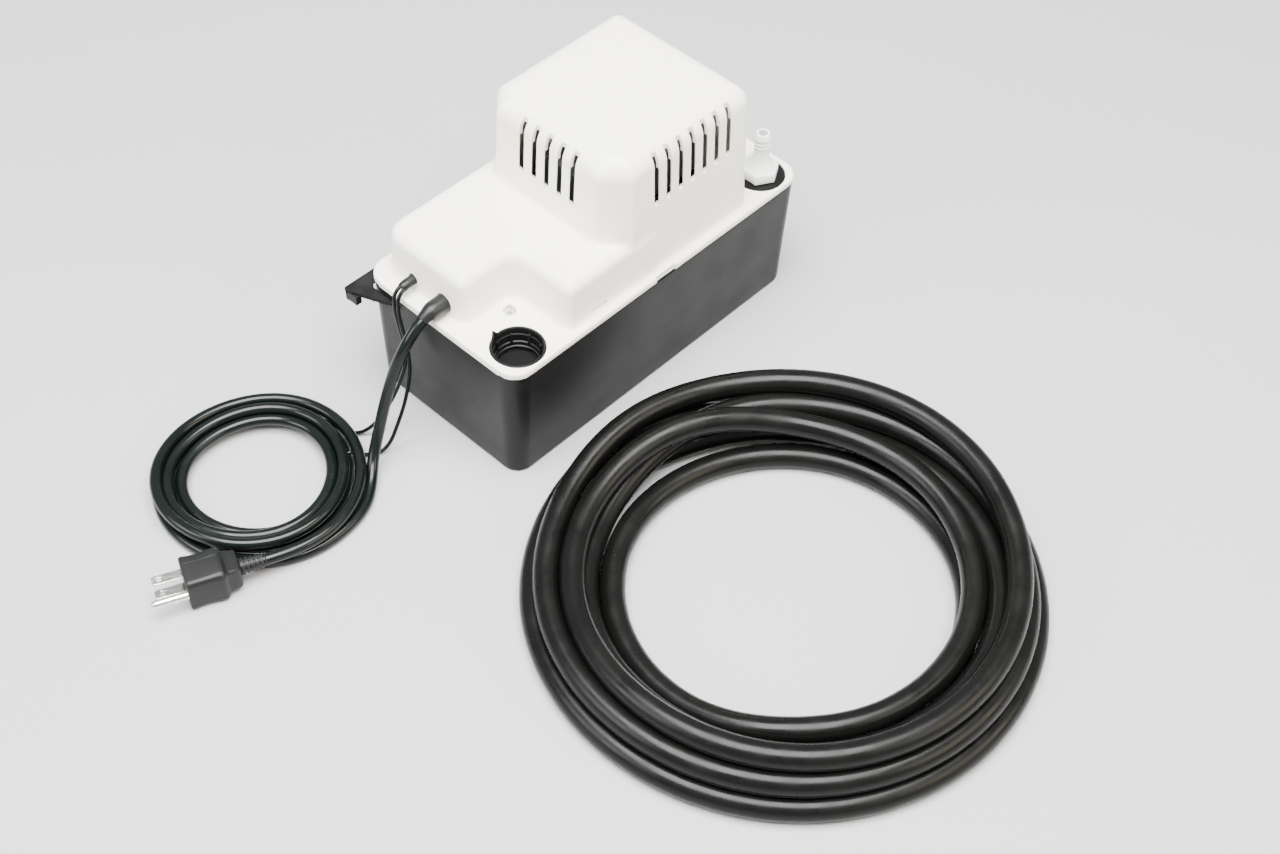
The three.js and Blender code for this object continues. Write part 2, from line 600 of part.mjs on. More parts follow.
function makeSwitch() {
  const { x0, x1, y, bottom, top, terminalTop } = SWITCH;
  const terminal = (x) => block(x, x + 0.8, -2.4, 2.4, top - 1, terminalTop);
  return union(
    plate(rectCorners(x0, x1, -y, y, 1), bottom, top),
    block(x0 + 1, x1 - 1, 1 - y, y - 1, DECK.top + GAP, bottom + 1),
    terminal(-26),
    terminal(-21),
  );
}

function makeSwitchLever() {
  const { x, z } = LEVER_PIVOT;
  const blade = sideProfile([[x - 0.6, z], [x - 1.4, z], [-40.6, 89], [-39.8, 89]], -2.5, 2.5);
  return blade.add(bar(0.7, [x - 1, -2.5, z], [x - 1, 2.5, z], 12));
}

// ---------------------------------------------------------------- cord, plug, leads and hose
// The closed outer shape of a coil that lies flat, with its edges chamfered.
function makeCoilRing({ r0, r1, height }, segments) {
  const c = 4;
  return turned([
    [r0 + c, 0.2], [r1 - c, 0.2], [r1, c], [r1, height - c],
    [r1 - c, height], [r0 + c, height], [r0, height - c], [r0, c],
  ], { segments });
}

// The plug's pieces are drawn with +X towards the blades.
function makePlugBody() {
  const face = rectCorners(-11.5, 12, -12, 12, 3);
  const slab = (x0, x1, inset) => {
    const points = outline(face, inset);
    const geometry = loft([{ points, z: x0 }, { points, z: x1 }]);
    geometry.rotateY(Math.PI / 2);
    return toSolid(geometry);
  };
  return union(slab(0, BLADE.face, 0), slab(-9, 0.5, 2.5));
}

function makePlugRelief() {
  const tip = CORD.d / 2 + 0.4;
  const profile = [[0, 0], [5, 0], [4.2, 14.5], [tip, 15], [0, 15]];
  const lathe = new THREE.LatheGeometry(profile.map(([r, h]) => new THREE.Vector2(r, h)), 20);
  lathe.rotateZ(Math.PI / 2);
  lathe.translate(-9 - GAP, 0, 0);
  return toSolid(lathe);
}

function makePlugBlade(side) {
  const y = side * BLADE.pitch / 2;
  const half = BLADE.thickness / 2;
  const blade = block(BLADE.face + GAP, BLADE.end, y - half, y + half, -1, 5.3);
  return blade.subtract(bar(1.5, [BLADE.hole, y - 2, 2.1], [BLADE.hole, y + 2, 2.1], 16));
}

// ---------------------------------------------------------------- assembly
const pump = new THREE.Group();

const housing = addGroup(pump);
addPart(housing, 'tank', makeTank(), FINISH.black());
addPart(housing, 'deck_plate', makeDeck(), FINISH.black());
addPart(housing, 'cover', makeCover(), FINISH.white());
addPart(housing, 'hanger_ear_cord_end', makeHangerEar().mirror([1, 0, 0]), FINISH.black());
addPart(housing, 'hanger_ear_outlet_end', makeHangerEar(), FINISH.black());
for (const [end, [x, y]] of Object.entries(COVER_SCREWS)) {
  addPart(housing, `cover_screw_${end}`, makeCoverScrew(), FINISH.steel(), [x, y, SCREW_HEAD_Z]);
}

const motor = addGroup(pump, MOTOR.x, MOTOR.y);
const upperBracketZ = STATOR.top + BRACKET.clear;
const lowerBracketZ = STATOR.bottom - BRACKET.clear - BRACKET.thickness;
addPart(motor, 'stator_laminations', makeStator(), FINISH.lamination());
addPart(motor, 'coil_bobbin', makeBobbin(), FINISH.natural());
addPart(motor, 'coil_winding', legSleeve(2.3, 8.2, -16.4, 16.4), FINISH.copper());
const rotorCore = pipe(SHAFT.seat, 20, STATOR.bottom + 0.5, STATOR.top - 0.5);
addPart(motor, 'rotor_core', rotorCore, FINISH.lamination());
addPart(motor, 'motor_shaft', rod(SHAFT.r, SHAFT.bottom, SHAFT.top), FINISH.steel());
addPart(motor, 'cooling_fan', makeFan(), FINISH.black());
addPart(motor, 'upper_bearing_bracket', makeBearingBracket(upperBracketZ, BEARING.upper), FINISH.steel());
addPart(motor, 'lower_bearing_bracket', makeBearingBracket(lowerBracketZ, BEARING.lower), FINISH.steel());
addPart(motor, 'upper_bearing', pipe(BEARING.bore, BEARING.r, ...BEARING.upper), FINISH.bronze());
addPart(motor, 'lower_bearing', pipe(BEARING.bore, BEARING.r, ...BEARING.lower), FINISH.bronze());
const standoff = pipe(STANDOFF.bore, STANDOFF.r, DECK.top + GAP, lowerBracketZ - GAP, { segments: 12 });
const spacer = pipe(1.9, 3.6, STATOR.bottom - BRACKET.clear + GAP, STATOR.bottom - GAP, { segments: 12 });
corners4(STANDOFF.dx, STANDOFF.dy).forEach(([x, y], i) => {
  addPart(motor, `motor_standoff_${i + 1}`, standoff, FINISH.natural(), [x, y, 0]);
  addPart(motor, `motor_spacer_${i + 1}`, spacer, FINISH.steel(), [x, y, 0]);
  addPart(motor, `motor_screw_${i + 1}`, makeMotorScrew(), FINISH.steel(), [x, y, 0]);
});

const pumpEnd = addGroup(motor);
addPart(pumpEnd, 'pump_column', makeColumn(), FINISH.black());
addPart(pumpEnd, 'volute_housing', makeVolute(), FINISH.black());
addPart(pumpEnd, 'intake_plate', makeIntakePlate(), FINISH.black());
addPart(pumpEnd, 'impeller', makeImpeller(), FINISH.natural());
addPart(pumpEnd, 'shaft_slinger', pipe(SHAFT.seat, 6, 84, 86.5), FINISH.rubber());

addPart(housing, 'discharge_tube', makeDischargeTube(), FINISH.black());
const outlet = addGroup(pump, PORT.x, PORT.y);
addPart(outlet, 'check_valve_body', makeValveBody(), FINISH.natural());
const ball = toSolid(new THREE.SphereGeometry(BALL.r, 14, 10));
addPart(outlet, 'check_valve_ball', ball, FINISH.rubber(), [0, 0, BALL.z]);

const floatGroup = addGroup(pump, FLOAT_PIVOT.x, FLOAT_PIVOT.y, FLOAT_PIVOT.z);
const floatCorners = rectCorners(FLOAT.x0, FLOAT.x1, -FLOAT.y, FLOAT.y, 5);
addPart(floatGroup, 'float_body', plate(floatCorners, FLOAT.z0, FLOAT.z1), FINISH.foam());
addPart(floatGroup, 'float_arm', makeFloatArm(), FINISH.black());
addPart(floatGroup, 'float_bracket', makeFloatBracket(), FINISH.black());
addPart(floatGroup, 'float_pivot_pin', bar(FLOAT_PIVOT.pin, [0, -8, 0], [0, 8, 0], 20), FINISH.steel());
['run', 'safety'].forEach((name, i) => {
  const row = addGroup(pump, 0, SWITCH.rows[i]);
  addPart(row, `${name}_switch`, makeSwitch(), FINISH.black());
  addPart(row, `${name}_switch_lever`, makeSwitchLever(), FINISH.steel());
});

const glandEnd = [-120.6, 0, 0];
const [, cordY, cordZ] = CORD.exit;
const gland = bar(CORD.gland, glandEnd, [-108, 0, 0]);
const grommet = bar(LEAD.grommet, glandEnd, [-109, 0, 0], 20);
addPart(housing, 'cord_gland', gland, FINISH.rubber(), [0, cordY, cordZ]);
addPart(housing, 'lead_grommet', grommet, FINISH.rubber(), [0, LEAD.y, LEAD.z]);

const cords = addGroup(pump);
addPart(cords, 'power_cord_run', tubeAlong(POWER_ROUTE, CORD.d, 10, 16), FINISH.rubber());
addPart(cords, 'power_cord_coil', makeCoilRing(COIL, 28), FINISH.rubber(), [COIL.x, COIL.y, 0]);
addPart(cords, 'alarm_lead_a', tubeAlong(LEAD_ROUTES.a, LEAD.d, 8, 22), FINISH.rubber());
addPart(cords, 'alarm_lead_b', tubeAlong(LEAD_ROUTES.b, LEAD.d, 8, 22), FINISH.rubber());
addPart(cords, 'hose_coil', makeCoilRing(HOSE, 36), FINISH.rubber(), [HOSE.x, HOSE.y, 0]);

// The plug lies on its side beside the coil.
const plug = addGroup(cords, PLUG.x, PLUG.y, PLUG.z);
plug.rotation.set(PLUG.roll, 0, PLUG.yaw, 'ZYX');
addPart(plug, 'plug_body', makePlugBody(), FINISH.rubber());
addPart(plug, 'plug_strain_relief', makePlugRelief(), FINISH.rubber());
addPart(plug, 'plug_blade_line', makePlugBlade(1), FINISH.nickel());
addPart(plug, 'plug_blade_neutral', makePlugBlade(-1), FINISH.nickel());
addPart(plug, 'plug_ground_pin', bar(2.4, [BLADE.face + GAP, 0, -8.6], [43, 0, -8.6], 16), FINISH.nickel());

export default pump;
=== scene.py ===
import json
import math

import bmesh
import bpy
import numpy as np
from mathutils import Matrix, Vector


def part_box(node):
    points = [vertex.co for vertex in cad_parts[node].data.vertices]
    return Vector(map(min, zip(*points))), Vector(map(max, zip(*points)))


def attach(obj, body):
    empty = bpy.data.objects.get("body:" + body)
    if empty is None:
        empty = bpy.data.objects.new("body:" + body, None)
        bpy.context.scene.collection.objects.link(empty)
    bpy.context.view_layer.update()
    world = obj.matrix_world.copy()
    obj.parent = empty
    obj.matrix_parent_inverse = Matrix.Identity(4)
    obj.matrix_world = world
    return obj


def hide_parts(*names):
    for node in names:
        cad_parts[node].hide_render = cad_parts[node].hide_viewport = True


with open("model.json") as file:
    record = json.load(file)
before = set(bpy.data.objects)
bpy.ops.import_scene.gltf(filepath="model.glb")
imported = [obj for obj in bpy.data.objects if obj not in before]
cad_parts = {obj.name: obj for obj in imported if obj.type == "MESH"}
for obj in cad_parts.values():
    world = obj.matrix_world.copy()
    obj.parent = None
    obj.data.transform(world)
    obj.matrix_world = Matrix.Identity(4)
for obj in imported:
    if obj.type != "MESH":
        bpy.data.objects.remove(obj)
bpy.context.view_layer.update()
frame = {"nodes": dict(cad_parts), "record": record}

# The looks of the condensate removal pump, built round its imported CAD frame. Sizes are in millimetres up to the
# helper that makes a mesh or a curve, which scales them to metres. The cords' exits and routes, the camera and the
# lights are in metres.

MM = 0.001
scene = bpy.context.scene

# ------------------------------------------------------------------ named sizes
# The housing's sizes are those of the CAD source, except that its slots are 3.6 mm wide.
DRAFT = math.tan(math.radians(2.5))
LENGTH, WIDTH, CORNER = 250.0, 127.0, 14.0
TANK = dict(height=84.0, inset=0.4, base_inset=3.2, wall=2.5, lip=1.6, ledge=78.5, floor=3.0,
            foot_round=2.2, floor_round=3.0)
DECK = dict(bottom=78.8, top=81.8, inset=2.4)
FLANGE = dict(bottom=84.3, top=89.0, skirt=1.6, plate=2.5)
WALL = 2.5
PLATEAU = dict(top=121.5, round=7.0, x0=-115.0, x_step=-75.5, y_step=-12.0, y=58.0)
HUMP = dict(top=178.0, round=12.0, x0=-39.3, x1=83.0, y=58.0, chamfer=16.0, corner=12.0)
SLOT = dict(width=4.0, bottom=137.5, pitch=10.19, first_x=-2.6, first_y=19.8, side=7, end=5)
SLOT_REACH = dict(side=50.5, cord_end=-31.5, outlet_end=75.2)
PORT = dict(r=16.5, x=104.5, y=-45.2)
CORD_D, LEAD_D, HOSE_D = 7.0, 2.4, 15.0
CORD_EXIT = (-0.121, 0.005, 0.096)
PLUG_AT = Vector((-292.3, 0.3, 12.3))
PLUG_TURN = Matrix.Rotation(math.radians(155.7), 3, "Z") @ Matrix.Rotation(math.radians(90), 3, "X")


def mid(node):
    low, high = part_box(node)
    return (low + high) / 2 / MM


# ------------------------------------------------------------------ camera
CAMERA_AT = (-0.6165, -0.5934, 0.8835)
CAMERA_TURN = (41.5, 49.01, 2.47)  # degrees off the long axis, looking down, and of roll
CAMERA_SENSOR, CAMERA_LENS = 36, 53.94


def make_camera():
    """The photograph's view."""
    yaw, pitch, roll = (math.radians(a) for a in CAMERA_TURN)
    ahead = Vector((math.cos(pitch) * math.cos(yaw), math.cos(pitch) * math.sin(yaw), -math.sin(pitch)))
    right = ahead.cross(Vector((0, 0, 1))).normalized()
    up = right.cross(ahead)
    across = math.cos(roll) * right + math.sin(roll) * up
    over = -math.sin(roll) * right + math.cos(roll) * up
    data = bpy.data.cameras.new("camera")
    data.sensor_width, data.lens = CAMERA_SENSOR, CAMERA_LENS
    data.clip_start, data.clip_end = 0.05, 20
    camera = bpy.data.objects.new("camera", data)
    turn = Matrix((across, over, -ahead)).transposed().to_4x4()
    camera.matrix_world = Matrix.Translation(CAMERA_AT) @ turn
    scene.collection.objects.link(camera)
    scene.camera = camera


make_camera()


# ------------------------------------------------------------------ mesh helpers
def add_object(name, data, material=None, body="root"):
    thing = bpy.data.objects.new(name, data)
    scene.collection.objects.link(thing)
    if material is not None:
        data.materials.clear()
        data.materials.append(material)
    if body is not None:
        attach(thing, body)
    return thing


def smooth(mesh, angle=35):
    mesh.shade_smooth()
    mesh.set_sharp_from_angle(angle=math.radians(angle))
    return mesh


def outward(mesh, weld=None):
    """The mesh with its faces turned outward, its points first merged within a distance if one is given."""
    bm = bmesh.new()
    bm.from_mesh(mesh)
    if weld is not None:
        bmesh.ops.remove_doubles(bm, verts=bm.verts, dist=weld)
    bmesh.ops.recalc_face_normals(bm, faces=bm.faces)
    bm.to_mesh(mesh)
    bm.free()
    return mesh


def mesh_from(name, points, faces, turn=None, at=None, angle=35):
    """A mesh from points in millimetres, turned and moved if asked."""
    co = np.array(points, float).reshape(-1, 3)
    if turn is not None:
        co = co @ np.array(turn, float).T
    if at is not None:
        co = co + np.array(at, float)
    mesh = bpy.data.meshes.new(name)
    mesh.from_pydata((co * MM).tolist(), [], [tuple(int(i) for i in f) for f in faces])
    mesh.validate()
    return smooth(outward(mesh), angle)


def loft(rings, closed=False):
    """Points and faces of equal-length rings, each an (n, 3) array, capped at both ends unless closed."""
    n = len(rings[0])
    points = np.concatenate([np.array(r, float) for r in rings])
    faces = []
    count = len(rings)
    for k in range(count if closed else count - 1):
        a, b = k * n, ((k + 1) % count) * n
        faces += [(a + i, a + (i + 1) % n, b + (i + 1) % n, b + i) for i in range(n)]
    if not closed:
        faces += [tuple(range(n))[::-1], tuple(range((count - 1) * n, count * n))]
    return points, faces


def lathe(profile, segments=96, at=(0, 0, 0)):
    """Points and faces of a profile of (radius, z) turned about a vertical axis. The ends lie on the axis
    or the profile closes on itself."""
    turn = np.linspace(0, 2 * math.pi, segments, endpoint=False)
    on_axis = profile[0][0] < 1e-6
    points, faces, rows = [], [], []
    for r, z in profile:
        if r < 1e-6:
            rows.append([len(points)] * segments)
            points.append((0, 0, z))
        else:
            rows.append(list(range(len(points), len(points) + segments)))
            points += [(r * math.cos(t), r * math.sin(t), z) for t in turn]
    pairs = list(zip(rows[:-1], rows[1:]))
    if not on_axis:
        pairs.append((rows[-1], rows[0]))
    for low, high in pairs:
        for i in range(segments):
            j = (i + 1) % segments
            face = []
            for v in (low[i], low[j], high[j], high[i]):
                if v not in face:
                    face.append(v)
            if len(face) > 2:
                faces.append(face)
    return np.array(points, float) + np.array(at, float), faces


def together(*parts):
    """Several (points, faces) as one."""
    points, faces, start = [], [], 0
    for p, f in parts:
        points.append(np.array(p, float))
        faces += [tuple(int(i) + start for i in face) for face in f]
        start += len(p)
    return np.concatenate(points), faces


def outline(corners, inset=0.0, steps=10):
    """A closed plan outline with rounded corners; each corner is (x, y, radius), counter-clockwise."""
    points = []
    count = len(corners)
    for i in range(count):
        px, py, _ = corners[i - 1]
        cx, cy, radius = corners[i]
        nx, ny, _ = corners[(i + 1) % count]
        a = np.array([cx - px, cy - py]) / math.hypot(cx - px, cy - py)
        b = np.array([nx - cx, ny - cy]) / math.hypot(nx - cx, ny - cy)
        turn = math.atan2(a[0] * b[1] - a[1] * b[0], a @ b)
        half = math.tan(turn / 2)
        x = cx - inset * a[1] - inset * half * a[0]
        y = cy + inset * a[0] - inset * half * a[1]
        r = max(radius - inset, 0.5) if turn > 0 else radius + inset
        tangent, side = r * abs(half), math.copysign(1, turn)
        sx, sy = x - tangent * a[0], y - tangent * a[1]
        ox, oy = sx - side * r * a[1], sy + side * r * a[0]
        first = math.atan2(sy - oy, sx - ox)
        for k in range(steps + 1):
            t = first + turn * k / steps
            points.append((ox + r * math.cos(t), oy + r * math.sin(t)))
    return np.array(points)


def rect(x0, x1, y0, y1, radius):
    return [(x0, y0, radius), (x1, y0, radius), (x1, y1, radius), (x0, y1, radius)]


def at_height(plan, z):
    return np.column_stack([plan, np.full(len(plan), z)])


def evaluated_mesh(thing):
    graph = bpy.context.evaluated_depsgraph_get()
    graph.update()
    return bpy.data.meshes.new_from_object(thing.evaluated_get(graph))


def modified(thing, angle=35):
    """The object's modifiers baked into its mesh."""
    mesh = evaluated_mesh(thing)
    thing.modifiers.clear()
    old = thing.data
    thing.data = mesh
    bpy.data.meshes.remove(old)
    return smooth(mesh, angle)


def cut(thing, cutter, angle=35):
    """Takes the cutter mesh out of the object."""
    tool = bpy.data.objects.new("cutter", cutter)
    scene.collection.objects.link(tool)
    step = thing.modifiers.new("cut", "BOOLEAN")
    step.operation, step.solver, step.object = "DIFFERENCE", "EXACT", tool
    modified(thing, angle)
    bpy.data.objects.remove(tool)
    bpy.data.meshes.remove(cutter)


# ------------------------------------------------------------------ materials
class Look:
    """One node material: Principled BSDF with helpers that hang patterns on it."""

    def __init__(self, name, rough, metallic=0.0, coat=0.0, specular=0.5):
        self.material = bpy.data.materials.new(name)
        self.material.use_nodes = True
        self.nodes = self.material.node_tree.nodes
        self.links = self.material.node_tree.links
        self.shader = self.nodes["Principled BSDF"]
        self.shader.inputs["Metallic"].default_value = metallic
        self.shader.inputs["Coat Weight"].default_value = coat
        self.shader.inputs["Coat Roughness"].default_value = 0.25
        self.shader.inputs["Specular IOR Level"].default_value = specular
        self.rough = rough
        self.coords = self.nodes.new("ShaderNodeTexCoord").outputs["Object"]
        self.normal = None

    def stretched(self, scale):
        node = self.nodes.new("ShaderNodeMapping")
        node.inputs["Scale"].default_value = scale
        self.links.new(self.coords, node.inputs["Vector"])
        return node.outputs["Vector"]

    def noise(self, scale, detail=3.0, at=None, distortion=0.0):
        node = self.nodes.new("ShaderNodeTexNoise")
        node.inputs["Scale"].default_value = scale
        node.inputs["Detail"].default_value = detail
        node.inputs["Distortion"].default_value = distortion
        self.links.new(at or self.coords, node.inputs["Vector"])
        return node.outputs["Fac"]

    def bands(self, scale, direction="Z", distortion=0.0):
        node = self.nodes.new("ShaderNodeTexWave")
        node.wave_type, node.bands_direction = "BANDS", direction
        node.inputs["Scale"].default_value = scale
        node.inputs["Distortion"].default_value = distortion
        self.links.new(self.coords, node.inputs["Vector"])
        return node.outputs["Fac"]

    def ranged(self, value, low, high, from_low=0.3, from_high=0.7):
        node = self.nodes.new("ShaderNodeMapRange")
        for name, number in (("From Min", from_low), ("From Max", from_high), ("To Min", low), ("To Max", high)):
            node.inputs[name].default_value = number
        self.links.new(value, node.inputs["Value"])
        return node.outputs["Result"]

    def mix(self, value, first, second):
        """A colour between two, each a triple or another output."""
        node = self.nodes.new("ShaderNodeMix")
        node.data_type = "RGBA"
        sockets = [s for s in node.inputs if s.type == "RGBA"]
        for socket, colour in zip(sockets, (first, second)):
            if isinstance(colour, tuple):
                socket.default_value = (*colour, 1)
            else:
                self.links.new(colour, socket)
        self.links.new(value, node.inputs["Factor"])
        return next(s for s in node.outputs if s.type == "RGBA")

    def edges(self, low=0.53, high=0.6):
        geometry = self.nodes.new("ShaderNodeNewGeometry")
        return self.ranged(geometry.outputs["Pointiness"], 0.0, 1.0, low, high)

    def times(self, a, b):
        node = self.nodes.new("ShaderNodeMath")
        node.operation = "MULTIPLY"
        for socket, value in zip(node.inputs, (a, b)):
            if isinstance(value, float):
                socket.default_value = value
            else:
                self.links.new(value, socket)
        return node.outputs["Value"]

    def colour(self, output):
        self.links.new(output, self.shader.inputs["Base Color"])

    def roughness(self, value, spread):
        self.links.new(
            self.ranged(value, self.rough - spread, self.rough + spread), self.shader.inputs["Roughness"]
        )

    def bump(self, value, depth, strength=1.0):
        """Depth in millimetres."""
        node = self.nodes.new("ShaderNodeBump")
        node.inputs["Strength"].default_value = strength
        node.inputs["Distance"].default_value = depth * MM
        self.links.new(value, node.inputs["Height"])
        if self.normal is not None:
            self.links.new(self.normal, node.inputs["Normal"])
        self.normal = node.outputs["Normal"]
        self.links.new(self.normal, self.shader.inputs["Normal"])


def shade(colour, amount):
    return tuple(min(1.0, c * amount) for c in colour)


def plastic(name, colour, rough, mottle=0.06, grain=700, depth=0.03, worn=None, coat=0.0, specular=0.5,
            spread=0.06):
    """Moulded plastic: slow mottling, a fine moulded grain, and edges rubbed lighter."""
    look = Look(name, rough, coat=coat, specular=specular)
    slow, fine = look.noise(14), look.noise(grain, 4.0)
    base = look.mix(look.ranged(slow, 0.0, 1.0), shade(colour, 1 - mottle), shade(colour, 1 + mottle))
    rubbed = look.times(look.edges(), look.ranged(look.noise(90, 5.0), 0.0, 1.0, 0.4, 0.65))
    look.colour(look.mix(rubbed, base, worn or shade(colour, 1.25)))
    look.roughness(look.noise(45, 5.0), spread)
    look.bump(fine, depth)
    look.bump(look.noise(60, 2.0), depth * 2.0)
    return look


def metal(name, colour, rough, streak=(1, 1, 40), grain=220, depth=0.015, tarnish=0.7):
    """Plated or drawn metal: fine streaks, dull patches and brighter edges."""
    look = Look(name, rough, metallic=1.0)
    fine = look.noise(grain, 4.0, at=look.stretched(streak))
    dull = look.ranged(look.noise(60, 5.0, distortion=0.6), 0.0, 1.0, 0.45, 0.75)
    base = look.mix(dull, colour, shade(colour, tarnish))
    look.colour(look.mix(look.edges(), base, shade(colour, 1.2)))
    look.roughness(fine, 0.12)
    look.bump(fine, depth)
    return look


BAND_SCALE = 0.157  # a wave texture's scale for one band per metre, halved so that two sheets share a band


def laminated(name, colour, pitch, depth):
    """Stacked sheets: bands along Z, with the varnish pooled between them."""
    look = Look(name, 0.42, metallic=0.85)
    bands = look.bands(BAND_SCALE / (pitch * MM))
    patches = look.noise(70, 5.0)
    base = look.mix(bands, shade(colour, 0.45), colour)
    look.colour(look.mix(look.ranged(patches, 0.0, 0.6), base, shade(colour, 0.6)))
    look.roughness(patches, 0.1)
    look.bump(bands, depth)
    return look


def winding(name, colour):
    """Enamelled wire laid turn by turn, its colour banded with painted shade between the turns and a painted
    highlight along each turn.
    """
    look = Look(name, 0.3, metallic=0.75, coat=0.4)
    turns = look.bands(420, "Y", 0.4)
    # painted shade in the grooves between turns (0.3) and a painted highlight along each turn (1.25)
    look.colour(look.mix(turns, shade(colour, 0.3), shade(colour, 1.25)))
    look.roughness(look.noise(120, 4.0), 0.08)
    look.bump(turns, 0.25)
    return look


WHITE = (0.90, 0.87, 0.775)
BLACK = (0.0060, 0.0061, 0.0062)
LOOKS = {
    "cover_white": plastic("cover_white", WHITE, 0.42, 0.012, 900, 0.012, (0.9, 0.89, 0.85), spread=0.05),
    "tank_black": plastic("tank_black", BLACK, 0.34, 0.12, 800, 0.015, (0.012, 0.012, 0.012), specular=0.12),
    "natural_nylon": plastic("natural_nylon", (0.80, 0.82, 0.80), 0.33, 0.03, 400, 0.02, (0.9, 0.92, 0.9)),
    "plated_steel": metal("plated_steel", (0.62, 0.63, 0.65), 0.3),
    "laminated_steel": laminated("laminated_steel", (0.34, 0.35, 0.37), 0.6, 0.12),
    "copper_winding": winding("copper_winding", (0.60, 0.29, 0.13)),
    "bronze_bush": metal("bronze_bush", (0.58, 0.42, 0.2), 0.42, (1, 1, 1), 500, 0.03),
    "float_foam": plastic("float_foam", (0.82, 0.77, 0.66), 0.8, 0.05, 650, 0.16, (0.86, 0.82, 0.72)),
    "black_rubber": plastic("black_rubber", (0.008, 0.0085, 0.0085), 0.36, 0.2, 600, 0.03, (0.02, 0.02, 0.02),
                            specular=0.25),
    "nickel_blade": metal("nickel_blade", (0.78, 0.76, 0.71), 0.22, (1, 1, 12), 300, 0.012, 0.85),
    "seal_rubber": plastic("seal_rubber", (0.03, 0.03, 0.03), 0.6, 0.2, 500, 0.05, (0.07, 0.07, 0.07)),
}
LOOKS["natural_nylon"].shader.inputs["Subsurface Weight"].default_value = 0.35
LOOKS["natural_nylon"].shader.inputs["Subsurface Radius"].default_value = (0.004, 0.004, 0.004)


def cord_look(name, colour, rough, worn, specular=0.3, fine=400):
    """A flexible sheath: long faint scuffs, a slight green cast where light grazes it."""
    look = Look(name, rough, specular=specular)
    slow, scuff = look.noise(22, 4.0), look.noise(170, 6.0, distortion=1.2)
    base = look.mix(look.ranged(slow, 0.0, 1.0), colour, shade(colour, 1.6))
    look.colour(look.mix(look.ranged(scuff, 0.0, 0.5, 0.58, 0.85), base, worn))
    look.roughness(look.noise(60, 5.0), 0.09)
    look.bump(look.noise(fine, 3.0), 0.03)
    look.bump(look.noise(35, 2.0), 0.12)
    return look


CORD_LOOK = cord_look("cord_sheath", (0.0022, 0.0034, 0.0031), 0.2, (0.008, 0.011, 0.010), 0.24)
HOSE_LOOK = cord_look("hose_sheath", (0.0022, 0.0024, 0.0021), 0.3, (0.006, 0.0065, 0.0056), 0.17, 250)
PLUG_LOOK = plastic("plug_plastic", (0.006, 0.0066, 0.0063), 0.42, 0.15, 500, 0.05, (0.025, 0.027, 0.026),
                    specular=0.25)


def add_piece(name, mesh, slot, node, look=None):
    """A piece of the root body in its slot's own look or another, in the place of a CAD node."""
    piece = add_object(name, mesh, (look or LOOKS[slot]).material, "root")
    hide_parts(node)
    return piece


# ------------------------------------------------------------------ cords
def even(points, gap):
    """Points a gap apart along a smooth line through the given ones."""
    p = np.array(points, float)
    knots = np.concatenate([[0], np.cumsum(np.sqrt(np.linalg.norm(np.diff(p, axis=0), axis=1)))])
    slopes = np.gradient(p, knots, axis=0)
    fine = []
    for i in range(len(p) - 1):
        h = knots[i + 1] - knots[i]
        for s in np.linspace(0, 1, 12, endpoint=False):
            fine.append(
                (2 * s**3 - 3 * s**2 + 1) * p[i] + (s**3 - 2 * s**2 + s) * h * slopes[i]
                + (3 * s**2 - 2 * s**3) * p[i + 1] + (s**3 - s**2) * h * slopes[i + 1]
            )
    fine = np.array(fine + [p[-1]])
    along = np.concatenate([[0], np.cumsum(np.linalg.norm(np.diff(fine, axis=0), axis=1))])
    at = np.linspace(0, along[-1], max(2, round(along[-1] / gap) + 1))
    return np.column_stack([np.interp(at, along, fine[:, k]) for k in range(3)])


def smoothed(values, kernel):
    """A moving average, with the first and last values held beyond the ends."""
    half = len(kernel) // 2
    padded = np.concatenate([np.full(half, values[0]), values, np.full(half, values[-1])])
    return np.convolve(padded, kernel, "valid")


def settle(plan, layer, d, held, droop, rounds=400):
    """Heights for a line that lies on the floor and on its own lower layers: as low as it can be without
    passing into what is under it, and as smooth as its stiffness makes it. held maps indices to heights."""
    n = len(plan)
    along = np.arange(n)
    gaps = np.linalg.norm(np.diff(plan, axis=0), axis=1).mean()
    skip = max(3, int(2.2 * d / gaps))
    far = np.linalg.norm(plan[:, None] - plan[None], axis=2)
    under = (layer[None] < layer[:, None]) | ((layer[None] == layer[:, None]) & (along[None] < along[:, None]))
    near = under & (far < d) & (np.abs(along[:, None] - along[None]) > skip)
    lift = np.where(near, np.sqrt(np.maximum(d * d - far * far, 0)), -np.inf)
    ground = np.full(n, d / 2)
    z = ground.copy()
    for _ in range(rounds):
        need = np.maximum(ground, (lift + z[None]).max(1))
        ease = z.copy()
        ease[1:-1] = (z[:-2] + z[2:]) / 2 - droop
        z = np.maximum(ease, need)
        for i, height in held.items():
            z[i] = height
    return z


def relax(line, times=3):
    for _ in range(times):
        line[1:-1] = (line[:-2] + 2 * line[1:-1] + line[2:]) / 4
    return line


def tube(name, line, d, look):
    """A round cord along a line, as a curve of one open spline."""
    curve = bpy.data.curves.new(name, "CURVE")
    curve.dimensions = "3D"
    curve.bevel_depth = d / 2 * MM
    curve.bevel_resolution = 6
    curve.use_fill_caps = True
    curve.resolution_u = 3
    spline = curve.splines.new("BEZIER")
    spline.bezier_points.add(len(line) - 1)
    for knot, p in zip(spline.bezier_points, line):
        knot.co = Vector(p) * MM
        knot.handle_left_type = knot.handle_right_type = "AUTO"
    return add_object(name, curve, look.material, "root")


def polar(centre, angle, radius):
    return np.column_stack([centre[0] + radius * np.cos(angle), centre[1] + radius * np.sin(angle)])


coil_mid = mid("power_cord_coil")
hose_mid = mid("hose_coil")

